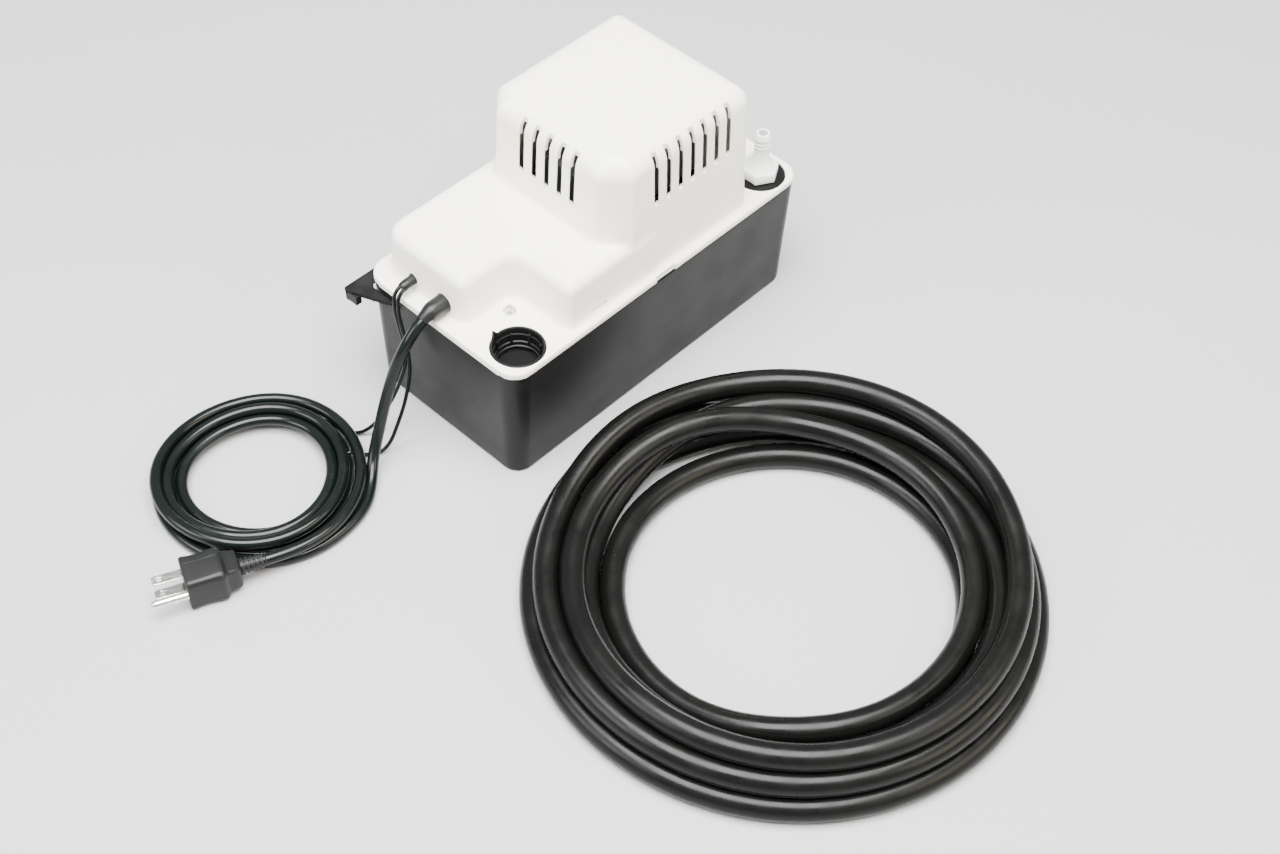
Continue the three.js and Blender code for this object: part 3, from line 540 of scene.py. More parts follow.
# The first stretch of each cord, from the cover down to the floor, in metres.
POWER_ROUTE = [
    CORD_EXIT, (-0.128, 0.005, 0.0954), (-0.136, 0.0052, 0.091), (-0.143, 0.0056, 0.0835),
    (-0.150, 0.0074, 0.0715), (-0.1565, 0.0088, 0.055), (-0.163, 0.009, 0.038), (-0.170, 0.0074, 0.023),
    (-0.178, 0.004, 0.0115), (-0.1865, -0.004, 0.0052), (-0.1945, -0.0106, 0.0038), (-0.203, -0.0164, 0.0038),
]
LEAD_ROUTE_A = [
    (-0.1212, 0.0322, 0.097), (-0.1274, 0.0322, 0.094), (-0.1304, 0.0306, 0.087), (-0.1314, 0.0276, 0.076),
    (-0.1318, 0.0238, 0.063), (-0.134, 0.0206, 0.050), (-0.141, 0.020, 0.035), (-0.150, 0.022, 0.020),
    (-0.159, 0.026, 0.008), (-0.1655, 0.031, 0.0026), (-0.1696, 0.0365, 0.0014),
]
LEAD_ROUTE_B = [
    (-0.1212, 0.0292, 0.097), (-0.1274, 0.0288, 0.0936), (-0.1306, 0.0272, 0.086), (-0.1318, 0.024, 0.075),
    (-0.1324, 0.020, 0.062), (-0.136, 0.015, 0.047), (-0.1435, 0.0114, 0.032), (-0.1525, 0.0096, 0.018),
    (-0.161, 0.009, 0.007), (-0.1665, 0.0112, 0.0022), (-0.1736, 0.0158, 0.0014),
]


def in_mm(route):
    return np.array(route) / MM


LEAD_SIDE = 4.15  # how far inside a turn of the bottom layer a lead lies
CORD_CLEAR, CORD_DROOP = 0.15, 0.015  # the power cord's gap between turns, and how readily it sags
HOSE_PRESS, HOSE_DROOP = 0.5, 0.32  # how far the hose's turns press into each other, and how readily it sags
COIL_START = -65.0  # degrees round the coil where the cord comes in
BOTTOM_END = 835.0  # degrees of turning in the bottom layer


def bottom_radius(turned):
    """The bottom layer's spiral, by degrees of clockwise turning."""
    return np.interp(turned, [0, 40, 115, 475, 835], [68.2, 64.5, 58.3, 50.0, 41.8])


def coil_sway(angle):
    """How far the coil's turns stray from a true spiral."""
    return 1.3 * np.cos(2 * angle + 0.7) + 0.8 * np.cos(3 * angle - 1.1)


def power_coil():
    """Plan points and layers of the coil, from the cord's arrival to the plug's strain relief.
    The turns run clockwise, outside in along the floor and inside out on top."""
    turned = np.arange(8, 1846, 9.0)
    bottom = turned < BOTTOM_END
    past = turned - BOTTOM_END
    upper = np.interp(past, [0, 60, 430, 800, 930, 1000, 1014], [41.8, 42.6, 49.8, 57.0, 60.4, 64.9, 65.8])
    radius = np.where(bottom, bottom_radius(turned), upper)
    radius = smoothed(radius, np.ones(7) / 7)
    angle = np.radians(COIL_START - turned)
    fade = np.clip(np.minimum(turned - 60, 1800 - turned) / 120, 0, 1)
    plan = polar(coil_mid, angle, radius + coil_sway(angle) * fade)
    drift = np.clip(past / 200, 0, 1) * np.clip((1640 - turned) / 120, 0, 1)
    plan += drift[:, None] * np.array([-2.6, -0.6])
    return plan, np.where(bottom, 0, 1)


def power_line():
    run = even(in_mm(POWER_ROUTE), 6)
    plan, layer = power_coil()
    relief_end = np.array(PLUG_AT + PLUG_TURN @ Vector((-22.5, 0, 0)))
    ahead = np.array(PLUG_TURN @ Vector((1, 0, 0)))
    tail = [relief_end - ahead * 9, relief_end, relief_end + ahead * 9]
    plan = np.concatenate([plan, np.array(tail)[:, :2]])
    layer = np.concatenate([layer, [1, 1, 1]])
    n = len(plan)
    held = {0: 3.7, n - 3: relief_end[2] - 0.4, n - 2: relief_end[2], n - 1: relief_end[2]}
    z = settle(plan, layer, CORD_D + CORD_CLEAR, held, CORD_DROOP)
    return relax(np.concatenate([run, np.column_stack([plan, z])]), 2)


def hose_line():
    """Two turns on the floor, a loose pile over them, and the last part of a turn on the floor again."""
    radii = [  # at 60, -55, -140, 142 and 100 degrees of each turn
        138.0, 142.6, 148.0, 148.4, 141.0,
        123.0, 127.0, 131.5, 132.5, 126.0,
        108.0, 121.0, 125.0, 117.0, 111.0,
        115.5, 136.3, 140.5, 140.5, 133.5,
        130.5, 128.5, 133.0, 125.0, 118.5,
        100.5, 105.3, 109.0, 101.5, 97.0,
        93.0, 105.0, 107.0, 106.0, 105.0,
    ]
    knots = np.array([k + t / 360 for k in range(7) for t in (0, 115, 200, 278, 320)])
    turns = np.arange(-0.08, 6.56, 1 / 44)
    radius = smoothed(np.interp(turns, knots, radii), np.hanning(11) / np.hanning(11).sum())
    angle = math.radians(60) - 2 * math.pi * turns
    plan = polar(hose_mid, angle, radius)
    layer = np.where((turns < 2) | (turns > 5.75), 0, 1)
    z = settle(plan, layer, HOSE_D - HOSE_PRESS, {}, HOSE_DROOP)
    return relax(np.column_stack([plan, z]), 3)


power = power_line()
hose = hose_line()


def make_lead(name, route, turned, cad_node):
    """A thin lead that comes in over the coil's outer turn and lies in a groove under the top layer."""
    run = even(in_mm(route), 4)
    radius = bottom_radius(turned) - LEAD_SIDE
    angle = np.radians(COIL_START - turned)
    groove = np.column_stack([polar(coil_mid, angle, radius), np.full(len(turned), 5.9)])
    groove[:, :2] += coil_sway(angle)[:, None] * np.column_stack([np.cos(angle), np.sin(angle)])
    first, last = run[-1], groove[0]
    heading = run[-1] - run[-2]
    heading = heading / np.linalg.norm(heading)
    reach = np.linalg.norm(last[:2] - first[:2])
    over = (first + last) / 2 + np.array([*heading[:2], 0]) * reach * 0.12
    over[2] = 8.5
    line = even(np.concatenate([run, [over], groove]), 4)
    lead = tube(name, line, LEAD_D, CORD_LOOK)
    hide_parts(cad_node)


power_cord = tube("power_cord", power, CORD_D, CORD_LOOK)
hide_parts("power_cord_run", "power_cord_coil")
hose_piece = tube("discharge_hose", hose, HOSE_D, HOSE_LOOK)
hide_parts("hose_coil")
make_lead("alarm_lead_1", LEAD_ROUTE_A, np.arange(276, -30, -9.0), "alarm_lead_a")
make_lead("alarm_lead_2", LEAD_ROUTE_B, np.arange(325, 600, 9.0), "alarm_lead_b")


# ------------------------------------------------------------------ the plug
def plug_section(x, inset, corner):
    """A rounded section across the plug at x, in the plug's own frame."""
    plan = outline([(-12, -12, corner), (12, -12, corner), (12, 11.5, corner), (-12, 11.5, corner)], inset, 8)
    return np.column_stack([np.full(len(plan), x), plan])


def plug_body():
    steps = [
        (-9, 5.4, 5), (-8.7, 4.6, 5), (-8.0, 4.1, 5), (-4.5, 3.5, 5), (-2.0, 2.9, 5), (-1.0, 2.4, 5),
        (-0.3, 1.2, 5), (0.4, 0.45, 4.5), (1.3, 0.1, 4), (3, 0, 4), (9, 0.5, 4), (12.5, 0.6, 4),
        (16, 0.5, 4), (20.3, 0.05, 3.5), (21.3, 0.25, 3.5), (21.8, 0.7, 3.5), (22, 1.4, 3.5),
    ]
    body = loft([plug_section(*s) for s in steps])
    seam_plan = [(-0.35, 0.0), (0.35, 0.0), (0.35, 0.22), (-0.35, 0.22)]
    rings = []
    for x in np.linspace(1.5, 20.5, 12):
        inset = np.interp(x, [1.5, 3, 9, 12.5, 16, 20.3], [0.15, 0, 0.5, 0.6, 0.5, 0.1])
        rings.append([(x, 12 - inset - 0.12 + up, 4.2 + across) for across, up in seam_plan])
    seam = loft(rings)
    low = (np.array(seam[0]) * np.array([1, -1, 1]), seam[1])
    mesh = mesh_from("plug_body_looks", *together(body, seam, low), PLUG_TURN, PLUG_AT, 40)
    return add_piece("plug_body_looks", mesh, "black_rubber", "plug_body", PLUG_LOOK)


def plug_relief():
    """Ribs that grow shorter towards the cord."""
    profile = [(0, 0), (4.6, 0.0), (5.0, 0.4)]
    for i in range(5):
        start, r = 0.8 + i * 2.75, 5.1 - 0.22 * i
        profile += [(r - 0.15, start), (r, start + 0.25), (r, start + 1.35), (r - 0.15, start + 1.6),
                    (r - 1.0, start + 1.75), (r - 1.0, start + 2.6)]
    profile += [(4.0, 14.6), (3.75, 15.2), (0, 15.2)]
    points, faces = lathe(profile, 48)
    along = np.column_stack([-9.3 - points[:, 2], points[:, 0], points[:, 1]])
    bars = []
    for turn in (0, math.pi / 2, math.pi, 3 * math.pi / 2):
        c, s = math.cos(turn), math.sin(turn)
        ring = []
        for x, r in ((-9.6, 4.75), (-23.2, 4.0)):
            ring.append([(x, a * c - b * s, a * s + b * c) for a, b in ((3, -0.8), (r, -0.8), (r, 0.8), (3, 0.8))])
        bars.append(loft(ring))
    mesh = mesh_from("plug_relief_looks", *together((along, faces), *bars), PLUG_TURN, PLUG_AT, 40)
    return add_piece("plug_relief_looks", mesh, "black_rubber", "plug_strain_relief", PLUG_LOOK)


def flat_plate(name, outline_points, holes, thickness, bevel):
    """A flat plate with holes and softened edges, from a filled 2D curve, as a mesh in XY about Z = 0."""
    curve = bpy.data.curves.new(name, "CURVE")
    curve.dimensions, curve.fill_mode = "2D", "BOTH"
    curve.extrude, curve.bevel_depth, curve.bevel_resolution = (thickness / 2 - bevel) * MM, bevel * MM, 2
    curve.offset = -bevel * MM
    for loop in (outline_points, *holes):
        spline = curve.splines.new("POLY")
        spline.points.add(len(loop) - 1)
        spline.use_cyclic_u = True
        for knot, (x, y) in zip(spline.points, loop):
            knot.co = (x * MM, y * MM, 0, 1)
    thing = bpy.data.objects.new(name, curve)
    scene.collection.objects.link(thing)
    mesh = evaluated_mesh(thing)
    bpy.data.objects.remove(thing)
    bpy.data.curves.remove(curve)
    return outward(mesh, weld=1e-6)


def circle(x, y, r, count=32):
    turn = np.linspace(0, 2 * math.pi, count, endpoint=False)
    return [(x + r * math.cos(t), y + r * math.sin(t)) for t in turn]


def plug_blades():
    made = []
    for node, side in (("plug_blade_line", 1), ("plug_blade_neutral", -1)):
        shape = [(18, -1), (37.4, -1), (38.6, -0.4), (39, 0.4), (39, 3.9), (38.6, 4.7), (37.4, 5.3), (18, 5.3)]
        mesh = flat_plate(node + "_looks", shape, [circle(35, 2.1, 1.55)], 1.5, 0.28)
        flat = np.array([v.co for v in mesh.vertices]) / MM
        own = np.column_stack([flat[:, 0], side * 6.35 + flat[:, 2], flat[:, 1]])
        placed = own @ np.array(PLUG_TURN).T + np.array(PLUG_AT)
        mesh.vertices.foreach_set("co", (placed * MM).ravel())
        mesh.update()
        smooth(mesh, 40)
        made.append(add_piece(node + "_looks", mesh, "nickel_blade", node))
    profile = [(0, 18), (2.4, 18), (2.4, 40.2), (2.2, 41.2), (1.7, 42.2), (0.9, 42.85), (0, 43)]
    points, faces = lathe(profile, 40)
    own = np.column_stack([points[:, 2], points[:, 0], points[:, 1] - 8.6])
    mesh = mesh_from("plug_ground_pin_looks", own, faces, PLUG_TURN, PLUG_AT, 50)
    return [*made, add_piece("plug_ground_pin_looks", mesh, "nickel_blade", "plug_ground_pin")]


plug_pieces = [plug_body(), plug_relief(), *plug_blades()]


# ------------------------------------------------------------------ sleeves where the cords leave the cover
STRAIGHT_TO = -118.0  # the x, just outside the cover's wall, where a sleeve's straight part ends


def sleeve(name, node, line, radii, start_x):
    """A tapered rubber sleeve that follows the first stretch of a cord, with its inner end in the cover."""
    steps = len(radii)
    at = np.linspace(0, len(line) - 1, steps)
    centre = np.column_stack([np.interp(at, np.arange(len(line)), line[:, k]) for k in range(3)])
    rings = []
    for k, (p, r) in enumerate(zip(centre, radii)):
        ahead = centre[min(k + 1, steps - 1)] - centre[max(k - 1, 0)]
        ahead = ahead / np.linalg.norm(ahead)
        side = np.cross(ahead, [0, 0, 1])
        side = side / np.linalg.norm(side)
        up = np.cross(side, ahead)
        turn = np.linspace(0, 2 * math.pi, 40, endpoint=False)
        rings.append(p + r * (np.cos(turn)[:, None] * side + np.sin(turn)[:, None] * up))
    inner = [ring.copy() for ring in (rings[0], rings[0])]
    inner[0][:, 0], inner[1][:, 0] = start_x, STRAIGHT_TO
    mesh = mesh_from(name, *loft([inner[0], inner[1], *rings[1:]]), angle=45)
    add_piece(name, mesh, "black_rubber", node)


cord_start = even(in_mm(POWER_ROUTE), 1)[:12]
sleeve("cord_sleeve", "cord_gland", cord_start,
       [5.7, 5.7, 5.65, 5.55, 5.4, 5.1, 4.75, 4.4, 4.15, 3.95, 3.8, 3.6], -108.5)
lead_pair = (even(in_mm(LEAD_ROUTE_A), 1)[:4] + even(in_mm(LEAD_ROUTE_B), 1)[:4]) / 2
sleeve("lead_sleeve", "lead_grommet", lead_pair, [3.2, 3.2, 3.1, 2.8], -109.5)


# ------------------------------------------------------------------ tank
FLANGE_CORNERS = rect(-LENGTH / 2, LENGTH / 2, -WIDTH / 2, WIDTH / 2, CORNER)


def make_tank():
    def taper(z):
        return TANK["inset"] + (TANK["base_inset"] - TANK["inset"]) * (1 - z / TANK["height"])

    def ring(inset, z):
        return at_height(outline(FLANGE_CORNERS, inset, 16), z)

    r = TANK["foot_round"]
    rings = [ring(taper(0) + r + 6, 0.25), ring(taper(0) + r + 0.4, 0.0)]
    for k in range(7):
        a = math.pi / 2 * k / 6
        rings.append(ring(taper(0) + r * (1 - math.sin(a)), r * (1 - math.cos(a))))
    rings += [ring(taper(z), z) for z in (12, 30, 50, 70, 82)]
    top, lip = TANK["height"], TANK["lip"]
    rings += [ring(taper(83.6), 83.6), ring(taper(84) + 0.35, top), ring(taper(84) + lip - 0.3, top),
              ring(taper(84) + lip, 83.6), ring(taper(84) + lip, TANK["ledge"] + 0.1),
              ring(taper(84) + lip + 0.1, TANK["ledge"])]
    wall = TANK["wall"]
    rings += [ring(taper(z) + wall, z) for z in (TANK["ledge"], 70, 20)]
    r, floor = TANK["floor_round"], TANK["floor"]
    for k in range(6):
        a = math.pi / 2 * k / 5
        rings.append(ring(taper(floor) + wall + r * (1 - math.cos(a)), floor + r * (1 - math.sin(a))))
    mesh = mesh_from("tank_looks", *loft(rings), angle=40)
    add_piece("tank_looks", mesh, "tank_black", "tank")


make_tank()


# ------------------------------------------------------------------ deck with its two port bosses
def make_deck():
    edge, bottom, top = 0.5, DECK["bottom"], DECK["top"]
    steps = ((edge, bottom), (0, bottom + edge), (0, top - edge), (edge, top))
    rings = [at_height(outline(FLANGE_CORNERS, DECK["inset"] + inset, 12), z) for inset, z in steps]
    slab = add_object("deck_looks", mesh_from("deck_looks", *loft(rings)), LOOKS["tank_black"].material)
    x, y = PORT["x"], PORT["y"]
    low, high = DECK["bottom"] - 2, DECK["top"] + 8

    def rod(r, cx, cy, count=64):
        return lathe([(0, low), (r, low), (r, high), (0, high)], count, (cx, cy, 0))

    def box(x0, x1, y0, y1):
        return loft([at_height(np.array([(x0, y0), (x1, y0), (x1, y1), (x0, y1)]), z) for z in (low, high)])

    def spoke(corners, turn, bottom, top):
        """An upright bar of the plan given, turned about the inlet's axis."""
        c, s = math.cos(turn), math.sin(turn)
        plan = np.array([(-x + a * c - b * s, y + a * s + b * c) for a, b in corners])
        return loft([at_height(plan, bottom), at_height(plan, top)])

    holes = [rod(15.7, -x, y), rod(6.6, x, y), rod(7, 16, 0), box(-52, -26, 6, 34),
             rod(1.9, -88, -21.5, 24), rod(1.9, 104, 34, 24)]
    holes += [rod(1.8, 16 + dx, dy, 24) for dx in (-27, 27) for dy in (-25, 25)]
    cut(slab, mesh_from("holes", *together(*holes)))
    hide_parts("deck_plate")

    collar = [
        (0, 73.5), (12.2, 73.5), (12.35, 76.5), (13.1, 76.9), (13.15, 79.4), (13.9, 79.8), (14.0, 84.6),
        (14.5, 85.0), (14.6, 88.5), (14.75, 89.1), (15.1, 89.4), (15.7, 89.4), (16.05, 89.15), (16.2, 88.7),
        (16.2, 84.6), (15.6, 84.6), (15.6, 78.8), (13.9, 78.8), (13.9, 71.9), (13.7, 71.7), (0, 71.7),
    ]
    mesh = mesh_from("inlet_cup_looks", *lathe(collar, 96, (-x, y, 0)))
    cup = add_object("inlet_cup_looks", mesh, LOOKS["tank_black"].material)
    for i in range(3):
        window = [(-17, -3.5), (17, -3.5), (17, 3.5), (-17, 3.5)]
        cut(cup, mesh_from("window", *spoke(window, math.pi * i / 3, 73.9, 76.2)))

    rib = [(12.9, -0.7), (14.7, -0.5), (14.7, 0.5), (12.9, 0.7)]
    ribs = [spoke(rib, math.pi * i / 4 + 0.3, 79.6, 86.2) for i in range(8)]
    tab = [(-3, -0.6), (3, -0.6), (2.2, 1.4), (1, 3), (-0.2, 4.6), (-1.6, 6.5), (-2.4, 2)]
    c, s = math.cos(0.28), math.sin(0.28)
    side = np.array([(-x - 4 + px * c, y + 14.6 + px * s, 89.4 + pz) for px, pz in tab])
    across = np.array([-s, c, 0]) * 0.6
    ribs.append(loft([side - across, side + across]))
    extra = add_object("inlet_catch", mesh_from("inlet_catch", *together(*ribs)), LOOKS["tank_black"].material)

    boss = [(6.6, 78.8), (6.6, 88.3), (6.9, 88.6), (15.6, 88.6), (16.05, 88.4), (16.2, 88.0), (16.2, 84.6),
            (15.6, 84.6), (15.6, 78.8)]
    mesh = mesh_from("outlet_boss_looks", *lathe(boss, 96, (x, y, 0)))
    add_object("outlet_boss_looks", mesh, LOOKS["tank_black"].material)


make_deck()


# ------------------------------------------------------------------ motor cover, from a distance field
PLATEAU_CORNERS = [
    (PLATEAU["x0"], PLATEAU["y_step"], 6), (PLATEAU["x_step"], PLATEAU["y_step"], 8),
    (PLATEAU["x_step"], -PLATEAU["y"], 5), (HUMP["x0"] + 40, -PLATEAU["y"], 5),
    (HUMP["x0"] + 40, PLATEAU["y"], 5), (PLATEAU["x0"], PLATEAU["y"], 14),
]
HUMP_CORNERS = [
    (HUMP["x0"], -HUMP["y"] + HUMP["chamfer"], 5), (HUMP["x0"] + HUMP["chamfer"], -HUMP["y"], 3),
    (HUMP["x1"], -HUMP["y"], HUMP["corner"]), (HUMP["x1"], HUMP["y"], HUMP["corner"]),
    (HUMP["x0"] + HUMP["chamfer"], HUMP["y"], 5), (HUMP["x0"], HUMP["y"] - HUMP["chamfer"], 5),
]


def polygon_distance(plan, x, y):
    """Signed distance from points to a closed outline, negative inside."""
    a = plan
    b = np.roll(plan, -1, axis=0)
    keep = np.linalg.norm(b - a, axis=1) > 1e-9
    a, b = a[keep], b[keep]
    out = np.empty(len(x))
    for start in range(0, len(x), 20000):
        px, py = x[start:start + 20000, None], y[start:start + 20000, None]
        ex, ey = (b - a)[None, :, 0], (b - a)[None, :, 1]
        wx, wy = px - a[None, :, 0], py - a[None, :, 1]
        t = np.clip((wx * ex + wy * ey) / (ex * ex + ey * ey), 0, 1)
        far = np.hypot(wx - t * ex, wy - t * ey).min(1)
        above_a, above_b = a[None, :, 1] <= py, b[None, :, 1] <= py
        left = ex * wy - ey * wx
        winding = (above_a & ~above_b & (left > 0)).sum(1) - (~above_a & above_b & (left < 0)).sum(1)
        out[start:start + 20000] = np.where(winding != 0, -far, far)
    return out


PLANS = {name: outline(c, 0, 8) for name, c in
         (("flange", FLANGE_CORNERS), ("plateau", PLATEAU_CORNERS), ("hump", HUMP_CORNERS))}


def rounded_top(side, up, r):
    return (np.minimum(np.maximum(side + r, up + r), 0)
            + np.hypot(np.maximum(side + r, 0), np.maximum(up + r, 0)) - r)


def blend_min(a, b, k):
    h = np.maximum(k - np.abs(a - b), 0) / k
    return np.minimum(a, b) - h * h * k / 4


def cover_field(flange, plateau, hump, z):
    """Distance to the cover's shell, from the plan distances and the height."""
    drafted = (z - FLANGE["top"]) * DRAFT
    low = rounded_top(plateau + drafted, z - PLATEAU["top"], PLATEAU["round"])
    high = rounded_top(hump + drafted, z - HUMP["top"], HUMP["round"])
    raised = blend_min(low, high, 3.0)
    rim = rounded_top(flange, z - FLANGE["top"], 1.3)
    outer = np.maximum(blend_min(rim, raised, 3.0), FLANGE["bottom"] - z)
    under = np.maximum(flange + FLANGE["skirt"], z - (FLANGE["top"] - FLANGE["plate"]))
    inner = np.minimum(raised + WALL, under)
    return np.maximum(outer, -inner)


def cover_shell(step):
    """A mesh of the zero surface, one point in each cell that it crosses, each moved onto the surface."""
    low = np.array([-LENGTH / 2 - 2.2, -WIDTH / 2 - 2.2, FLANGE["bottom"] - 2.1])
    high = np.array([LENGTH / 2 + 2.2, WIDTH / 2 + 2.2, HUMP["top"] + 2.2])
    steps = step * np.array([1.0, 0.93, 1.04])
    axes = [np.arange(a, b + s, s) for a, b, s in zip(low, high, steps)]
    gx, gy = np.meshgrid(axes[0], axes[1], indexing="ij")
    flat = [polygon_distance(p, gx.ravel(), gy.ravel()).reshape(gx.shape)[:, :, None] for p in PLANS.values()]
    field = cover_field(*flat, axes[2][None, None, :])
    inside = field < 0
    corner = [(i, j, k) for i in (0, 1) for j in (0, 1) for k in (0, 1)]
    nx, ny, nz = (len(a) - 1 for a in axes)

    def part(array, i, j, k):
        return array[i:i + nx, j:j + ny, k:k + nz]

    count = sum(part(inside, *c).astype(np.int8) for c in corner)
    cells = np.argwhere((count > 0) & (count < 8))
    ids = np.full((nx, ny, nz), -1)
    ids[tuple(cells.T)] = np.arange(len(cells))
    total, weight = np.zeros((len(cells), 3)), np.zeros(len(cells))
    for a in corner:
        for axis in range(3):
            if a[axis]:
                continue
            b = list(a)
            b[axis] = 1
            fa = field[tuple((cells + a).T)]
            fb = field[tuple((cells + b).T)]
            cross = (fa < 0) != (fb < 0)
            t = np.where(cross, fa / np.where(fa == fb, 1, fa - fb), 0)
            spot = np.array(a, float) + t[:, None] * (np.array(b) - np.array(a))
            total += spot * cross[:, None]
            weight += cross
    points = low + (cells + total / weight[:, None]) * steps
    faces = []
    for axis in range(3):
        size = [0, 0, 0]
        size[axis] = 1
        shape = field.shape
        first = inside[:shape[0] - size[0], :shape[1] - size[1], :shape[2] - size[2]]
        second = inside[size[0]:, size[1]:, size[2]:]
        edge = np.argwhere(first != second)
        other = [a for a in range(3) if a != axis]
        ok = (edge[:, other] > 0).all(1) & (edge[:, other] < np.array([nx, ny, nz])[other]).all(1)
        edge = edge[ok]
        outward = first[tuple(edge.T)]
        ring = []
        for da, db in ((1, 1), (0, 1), (0, 0), (1, 0)):
            cell = edge.copy()
            cell[:, other[0]] -= da
            cell[:, other[1]] -= db
            ring.append(ids[tuple(cell.T)])
        quad = np.column_stack(ring)
        flip = outward if axis == 1 else ~outward
        quad[flip] = quad[flip][:, ::-1]
        faces.append(quad)
    faces = np.concatenate(faces)

    def value(p):
        return cover_field(*(polygon_distance(plan, p[:, 0], p[:, 1]) for plan in PLANS.values()), p[:, 2])

    h = 0.02
    for _ in range(2):
        here = value(points)
        slope = np.column_stack([(value(points + np.eye(3)[k] * h) - here) / h for k in range(3)])
        slope /= np.maximum((slope**2).sum(1), 0.25)[:, None]
        points = points - np.clip(here, -step, step)[:, None] * slope
    return points, faces


def slot_cutters():
    """Upright slots with rounded feet, cut through the hump's walls from outside."""
    parts, reliefs = [], []
    half, top = SLOT["width"] / 2, HUMP["top"] + 3

    def add(centre, from_depth, to_depth, along_x):
        foot = [(half * math.cos(t), SLOT["bottom"] + half + half * math.sin(t))
                for t in np.linspace(math.pi, 2 * math.pi, 7)]
        shape = foot + [(half, top), (-half, top)]
        rings = []
        for depth in (from_depth, to_depth):
            if along_x:
                rings.append(np.array([(centre + u, depth, w) for u, w in shape]))
            else:
                rings.append(np.array([(depth, centre + u, w) for u, w in shape]))
        parts.append(loft(rings))

    def relieve(centre, face, along_x):
        """Slopes the wall away behind a slot, so that it reads as thin from any side."""
        rings = []
        for depth, wide in ((0.45, half + 0.1), (WALL + 1, half + 2.8)):
            foot, ring = SLOT["bottom"] + 1, []
            for u, w in ((-wide, foot), (wide, foot), (wide, 164), (-wide, 164)):
                at = face - math.copysign((w - FLANGE["top"]) * DRAFT + depth, face)
                ring.append((centre + u, at, w) if along_x else (at, centre + u, w))
            rings.append(np.array(ring))
        reliefs.append(loft(rings))

    for i in range(SLOT["side"]):
        x = SLOT["first_x"] + i * SLOT["pitch"]
        for side in (-1, 1):
            add(x, side * SLOT_REACH["side"], side * (HUMP["y"] + 2), True)
            relieve(x, side * HUMP["y"], True)
    for i in range(SLOT["end"]):
        y = SLOT["first_y"] - i * SLOT["pitch"]
        add(y, HUMP["x0"] - 2, SLOT_REACH["cord_end"], False)
        add(y, SLOT_REACH["outlet_end"], HUMP["x1"] + 2, False)
        relieve(y, HUMP["x0"], False)
        relieve(y, HUMP["x1"], False)
    return parts, reliefs


COVER_GRID = 1.15  # the size of the cells that the cover's surface is made on


def make_cover():
    points, faces = cover_shell(COVER_GRID)
    mesh = bpy.data.meshes.new("cover_looks")
    mesh.from_pydata((points * MM).tolist(), [], faces.tolist())
    mesh.validate()
    cover = add_object("cover_looks", outward(mesh), LOOKS["cover_white"].material)

    def rod(r, x, y, count=96):
        return lathe([(0, 80), (r, 80), (r, 96), (0, 96)], count, (x, y, 0))

    def along(r, y, z):
        points, faces = lathe([(0, -119), (r, -119), (r, -106), (0, -106)], 64)
        return np.column_stack([points[:, 2], points[:, 1] + y, points[:, 0] + z]), faces

    def box(x0, x1, y0, y1, z0, z1):
        plan = np.array([(x0, y0), (x1, y0), (x1, y1), (x0, y1)])
        return loft([at_height(plan, z0), at_height(plan, z1)])

    slots, reliefs = slot_cutters()
    cutters = [
        rod(PORT["r"], -PORT["x"], PORT["y"]), rod(PORT["r"], PORT["x"], PORT["y"]),
        rod(2.4, -88, -21.5, 32), rod(2.4, 104, 34, 32), along(6.1, 5, 96), along(3.6, 31, 97),
        box(-8, 9, -WIDTH / 2 - 2, -WIDTH / 2 + 1.4, 80, 95), box(-57, -45, -60, -54, 91.2, 93.2),
        *slots,
    ]
    cut(cover, mesh_from("cutters", *together(*cutters)), 40)
    cut(cover, mesh_from("reliefs", *together(*reliefs)), 40)
    even_out = cover.modifiers.new("even_normals", "WEIGHTED_NORMAL")
    even_out.keep_sharp, even_out.weight = True, 60
    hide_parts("cover")


make_cover()


# ------------------------------------------------------------------ check valve
def make_valve():
    x, y, _ = mid("check_valve_body")
    outer = [(3.2, 72.0), (5.9, 72.0), (6.2, 72.3), (6.2, 88.9), (9.2, 88.9), (9.6, 89.3), (9.6, 96.4),
             (9.2, 97.0), (7.6, 98.6), (6.3, 100.8), (5.5, 102.8), (5.2, 104.4), (4.7, 106.6)]
    for z in (112, 115, 118):
        outer += [(4.65, z - 2.4), (4.7, z - 0.1), (5.3, z + 0.3), (5.25, z + 0.6)]
    outer += [(4.6, 120.4), (4.3, 121.6), (4.0, 122.0), (2.9, 122.0)]
    bore = [(2.9, 94.6), (5.4, 90.6), (5.4, 84.6), (3.2, 82.4)]
    body = lathe(outer + bore, 72, (x, y, 0))
    rings = []
    for inset, z in ((0.9, 89.05), (0.2, 89.5), (0, 90.0), (0, 95.6), (0.2, 96.1), (0.9, 96.55)):
        r = 12.4 - inset
        turns = [0.52 + math.pi / 3 * k for k in range(6)]
        corners = [(r * math.cos(t), r * math.sin(t), 0.8) for t in turns]
        rings.append(at_height(outline(corners, 0, 4) + np.array([x, y]), z))
    around = np.arctan2(rings[0][:, 1] - y, rings[0][:, 0] - x)
    inner = [at_height(polar((x, y), around, 7), z) for z in (96.55, 89.05)]
    hexagon = loft([*rings, *inner], closed=True)
    mesh = mesh_from("check_valve_looks", *together(body, hexagon), angle=38)
    add_piece("check_valve_looks", mesh, "natural_nylon", "check_valve_body")


make_valve()


# ------------------------------------------------------------------ CAD nodes that keep their shape
SOFTENED = {"hanger_ear_cord_end": 0.5, "hanger_ear_outlet_end": 0.5, "cover_screw_inlet": 0.12,
            "cover_screw_outlet": 0.12, "float_body": 1.2}
EDGE, WELD = 0.15, 0.02  # every other node's edge, and how near two of its points are one


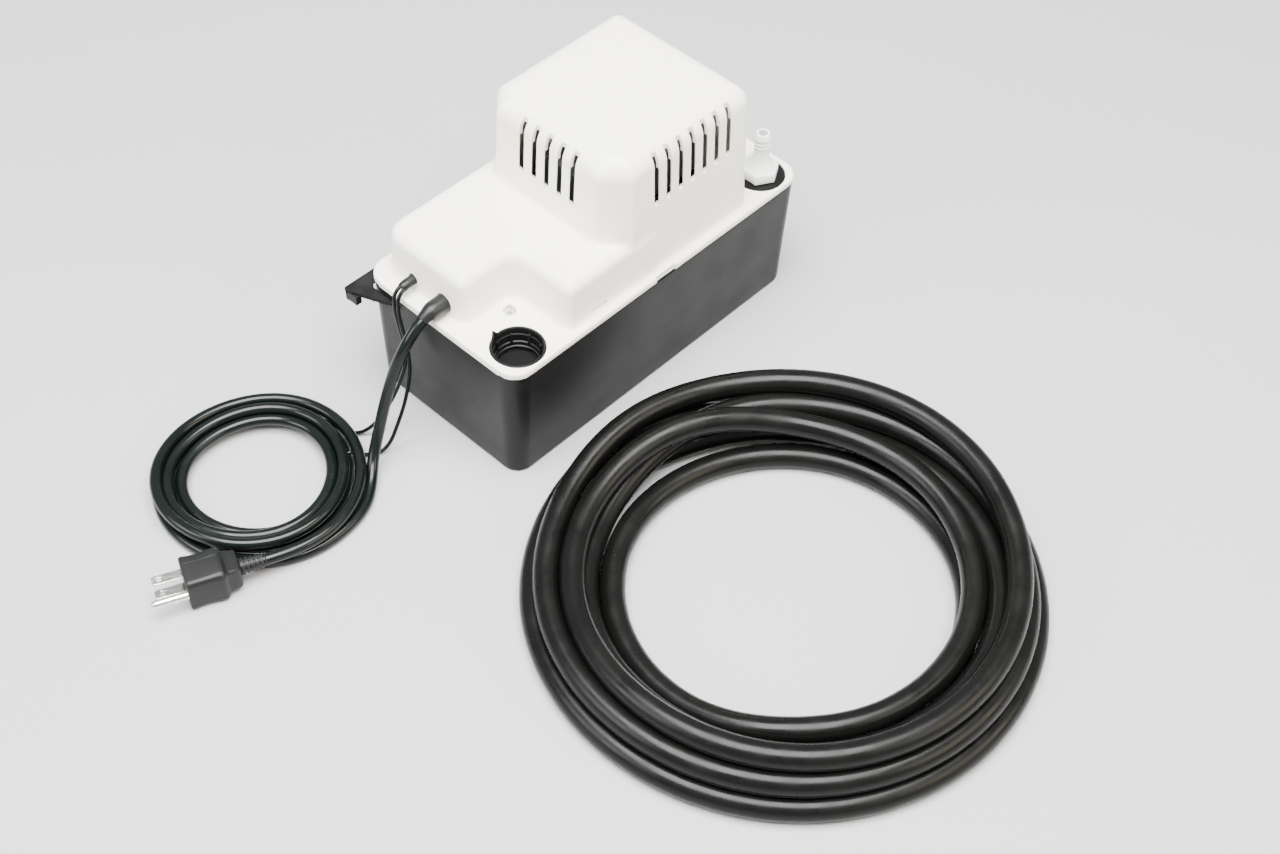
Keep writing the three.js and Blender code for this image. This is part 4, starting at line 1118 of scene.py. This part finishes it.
def dress_nodes():
    for part in frame["record"]["subparts"]:
        node = frame["nodes"].get(part["node"])
        if node is None or node.hide_render:
            continue
        node.data.materials.clear()
        node.data.materials.append(LOOKS[part["material_slot"]].material)
        weld = node.modifiers.new("weld", "WELD")
        weld.merge_threshold = WELD * MM
        bevel = node.modifiers.new("soft_edges", "BEVEL")
        bevel.width = SOFTENED.get(part["node"], EDGE) * MM
        bevel.segments, bevel.limit_method, bevel.angle_limit = 2, "ANGLE", math.radians(40)
        bevel.use_clamp_overlap = True


dress_nodes()


# ------------------------------------------------------------------ floor and light
def make_floor():
    plane = bmesh.new()
    bmesh.ops.create_grid(plane, x_segments=8, y_segments=8, size=6)
    mesh = bpy.data.meshes.new("floor")
    plane.to_mesh(mesh)
    plane.free()
    look = Look("floor_paper", 0.55, specular=0.3)
    slow = look.noise(1.1, 2.0)
    look.colour(look.mix(slow, (0.385, 0.388, 0.394), (0.42, 0.421, 0.424)))
    look.roughness(look.noise(30, 3.0), 0.05)
    look.bump(look.noise(400, 2.0), 0.01)
    floor = bpy.data.objects.new("floor", mesh)
    mesh.materials.append(look.material)
    scene.collection.objects.link(floor)


def add_area(name, place, target, size, power, colour):
    data = bpy.data.lights.new(name, "AREA")
    data.shape, data.size, data.size_y = "RECTANGLE", *size
    data.energy, data.color = power, colour
    light = bpy.data.objects.new(name, data)
    light.location = place
    light.rotation_euler = (Vector(target) - Vector(place)).to_track_quat("-Z", "Y").to_euler()
    scene.collection.objects.link(light)


AIR, AIR_STRENGTH = (0.95, 0.97, 1.0, 1), 0.75
LIGHTS = [  # name, place, target, width and length, power, colour
    ("overhead", (-0.3, -0.25, 1.6), (-0.1, -0.1, 0), (1.4, 1.2), 165, (1, 0.998, 0.99)),
    ("left", (-1.5, 0.5, 1.0), (-0.05, 0, 0.05), (0.8, 0.8), 24, (1, 1, 1)),
    ("front", (0.5, -1.6, 1.0), (0, 0, 0.05), (1.2, 0.9), 24, (1, 0.86, 0.68)),
]


def make_lights():
    world = bpy.data.worlds.new("studio")
    scene.world = world
    world.use_nodes = True
    air = world.node_tree.nodes["Background"].inputs
    air["Color"].default_value, air["Strength"].default_value = AIR, AIR_STRENGTH
    for light in LIGHTS:
        add_area(*light)


make_floor()
make_lights()
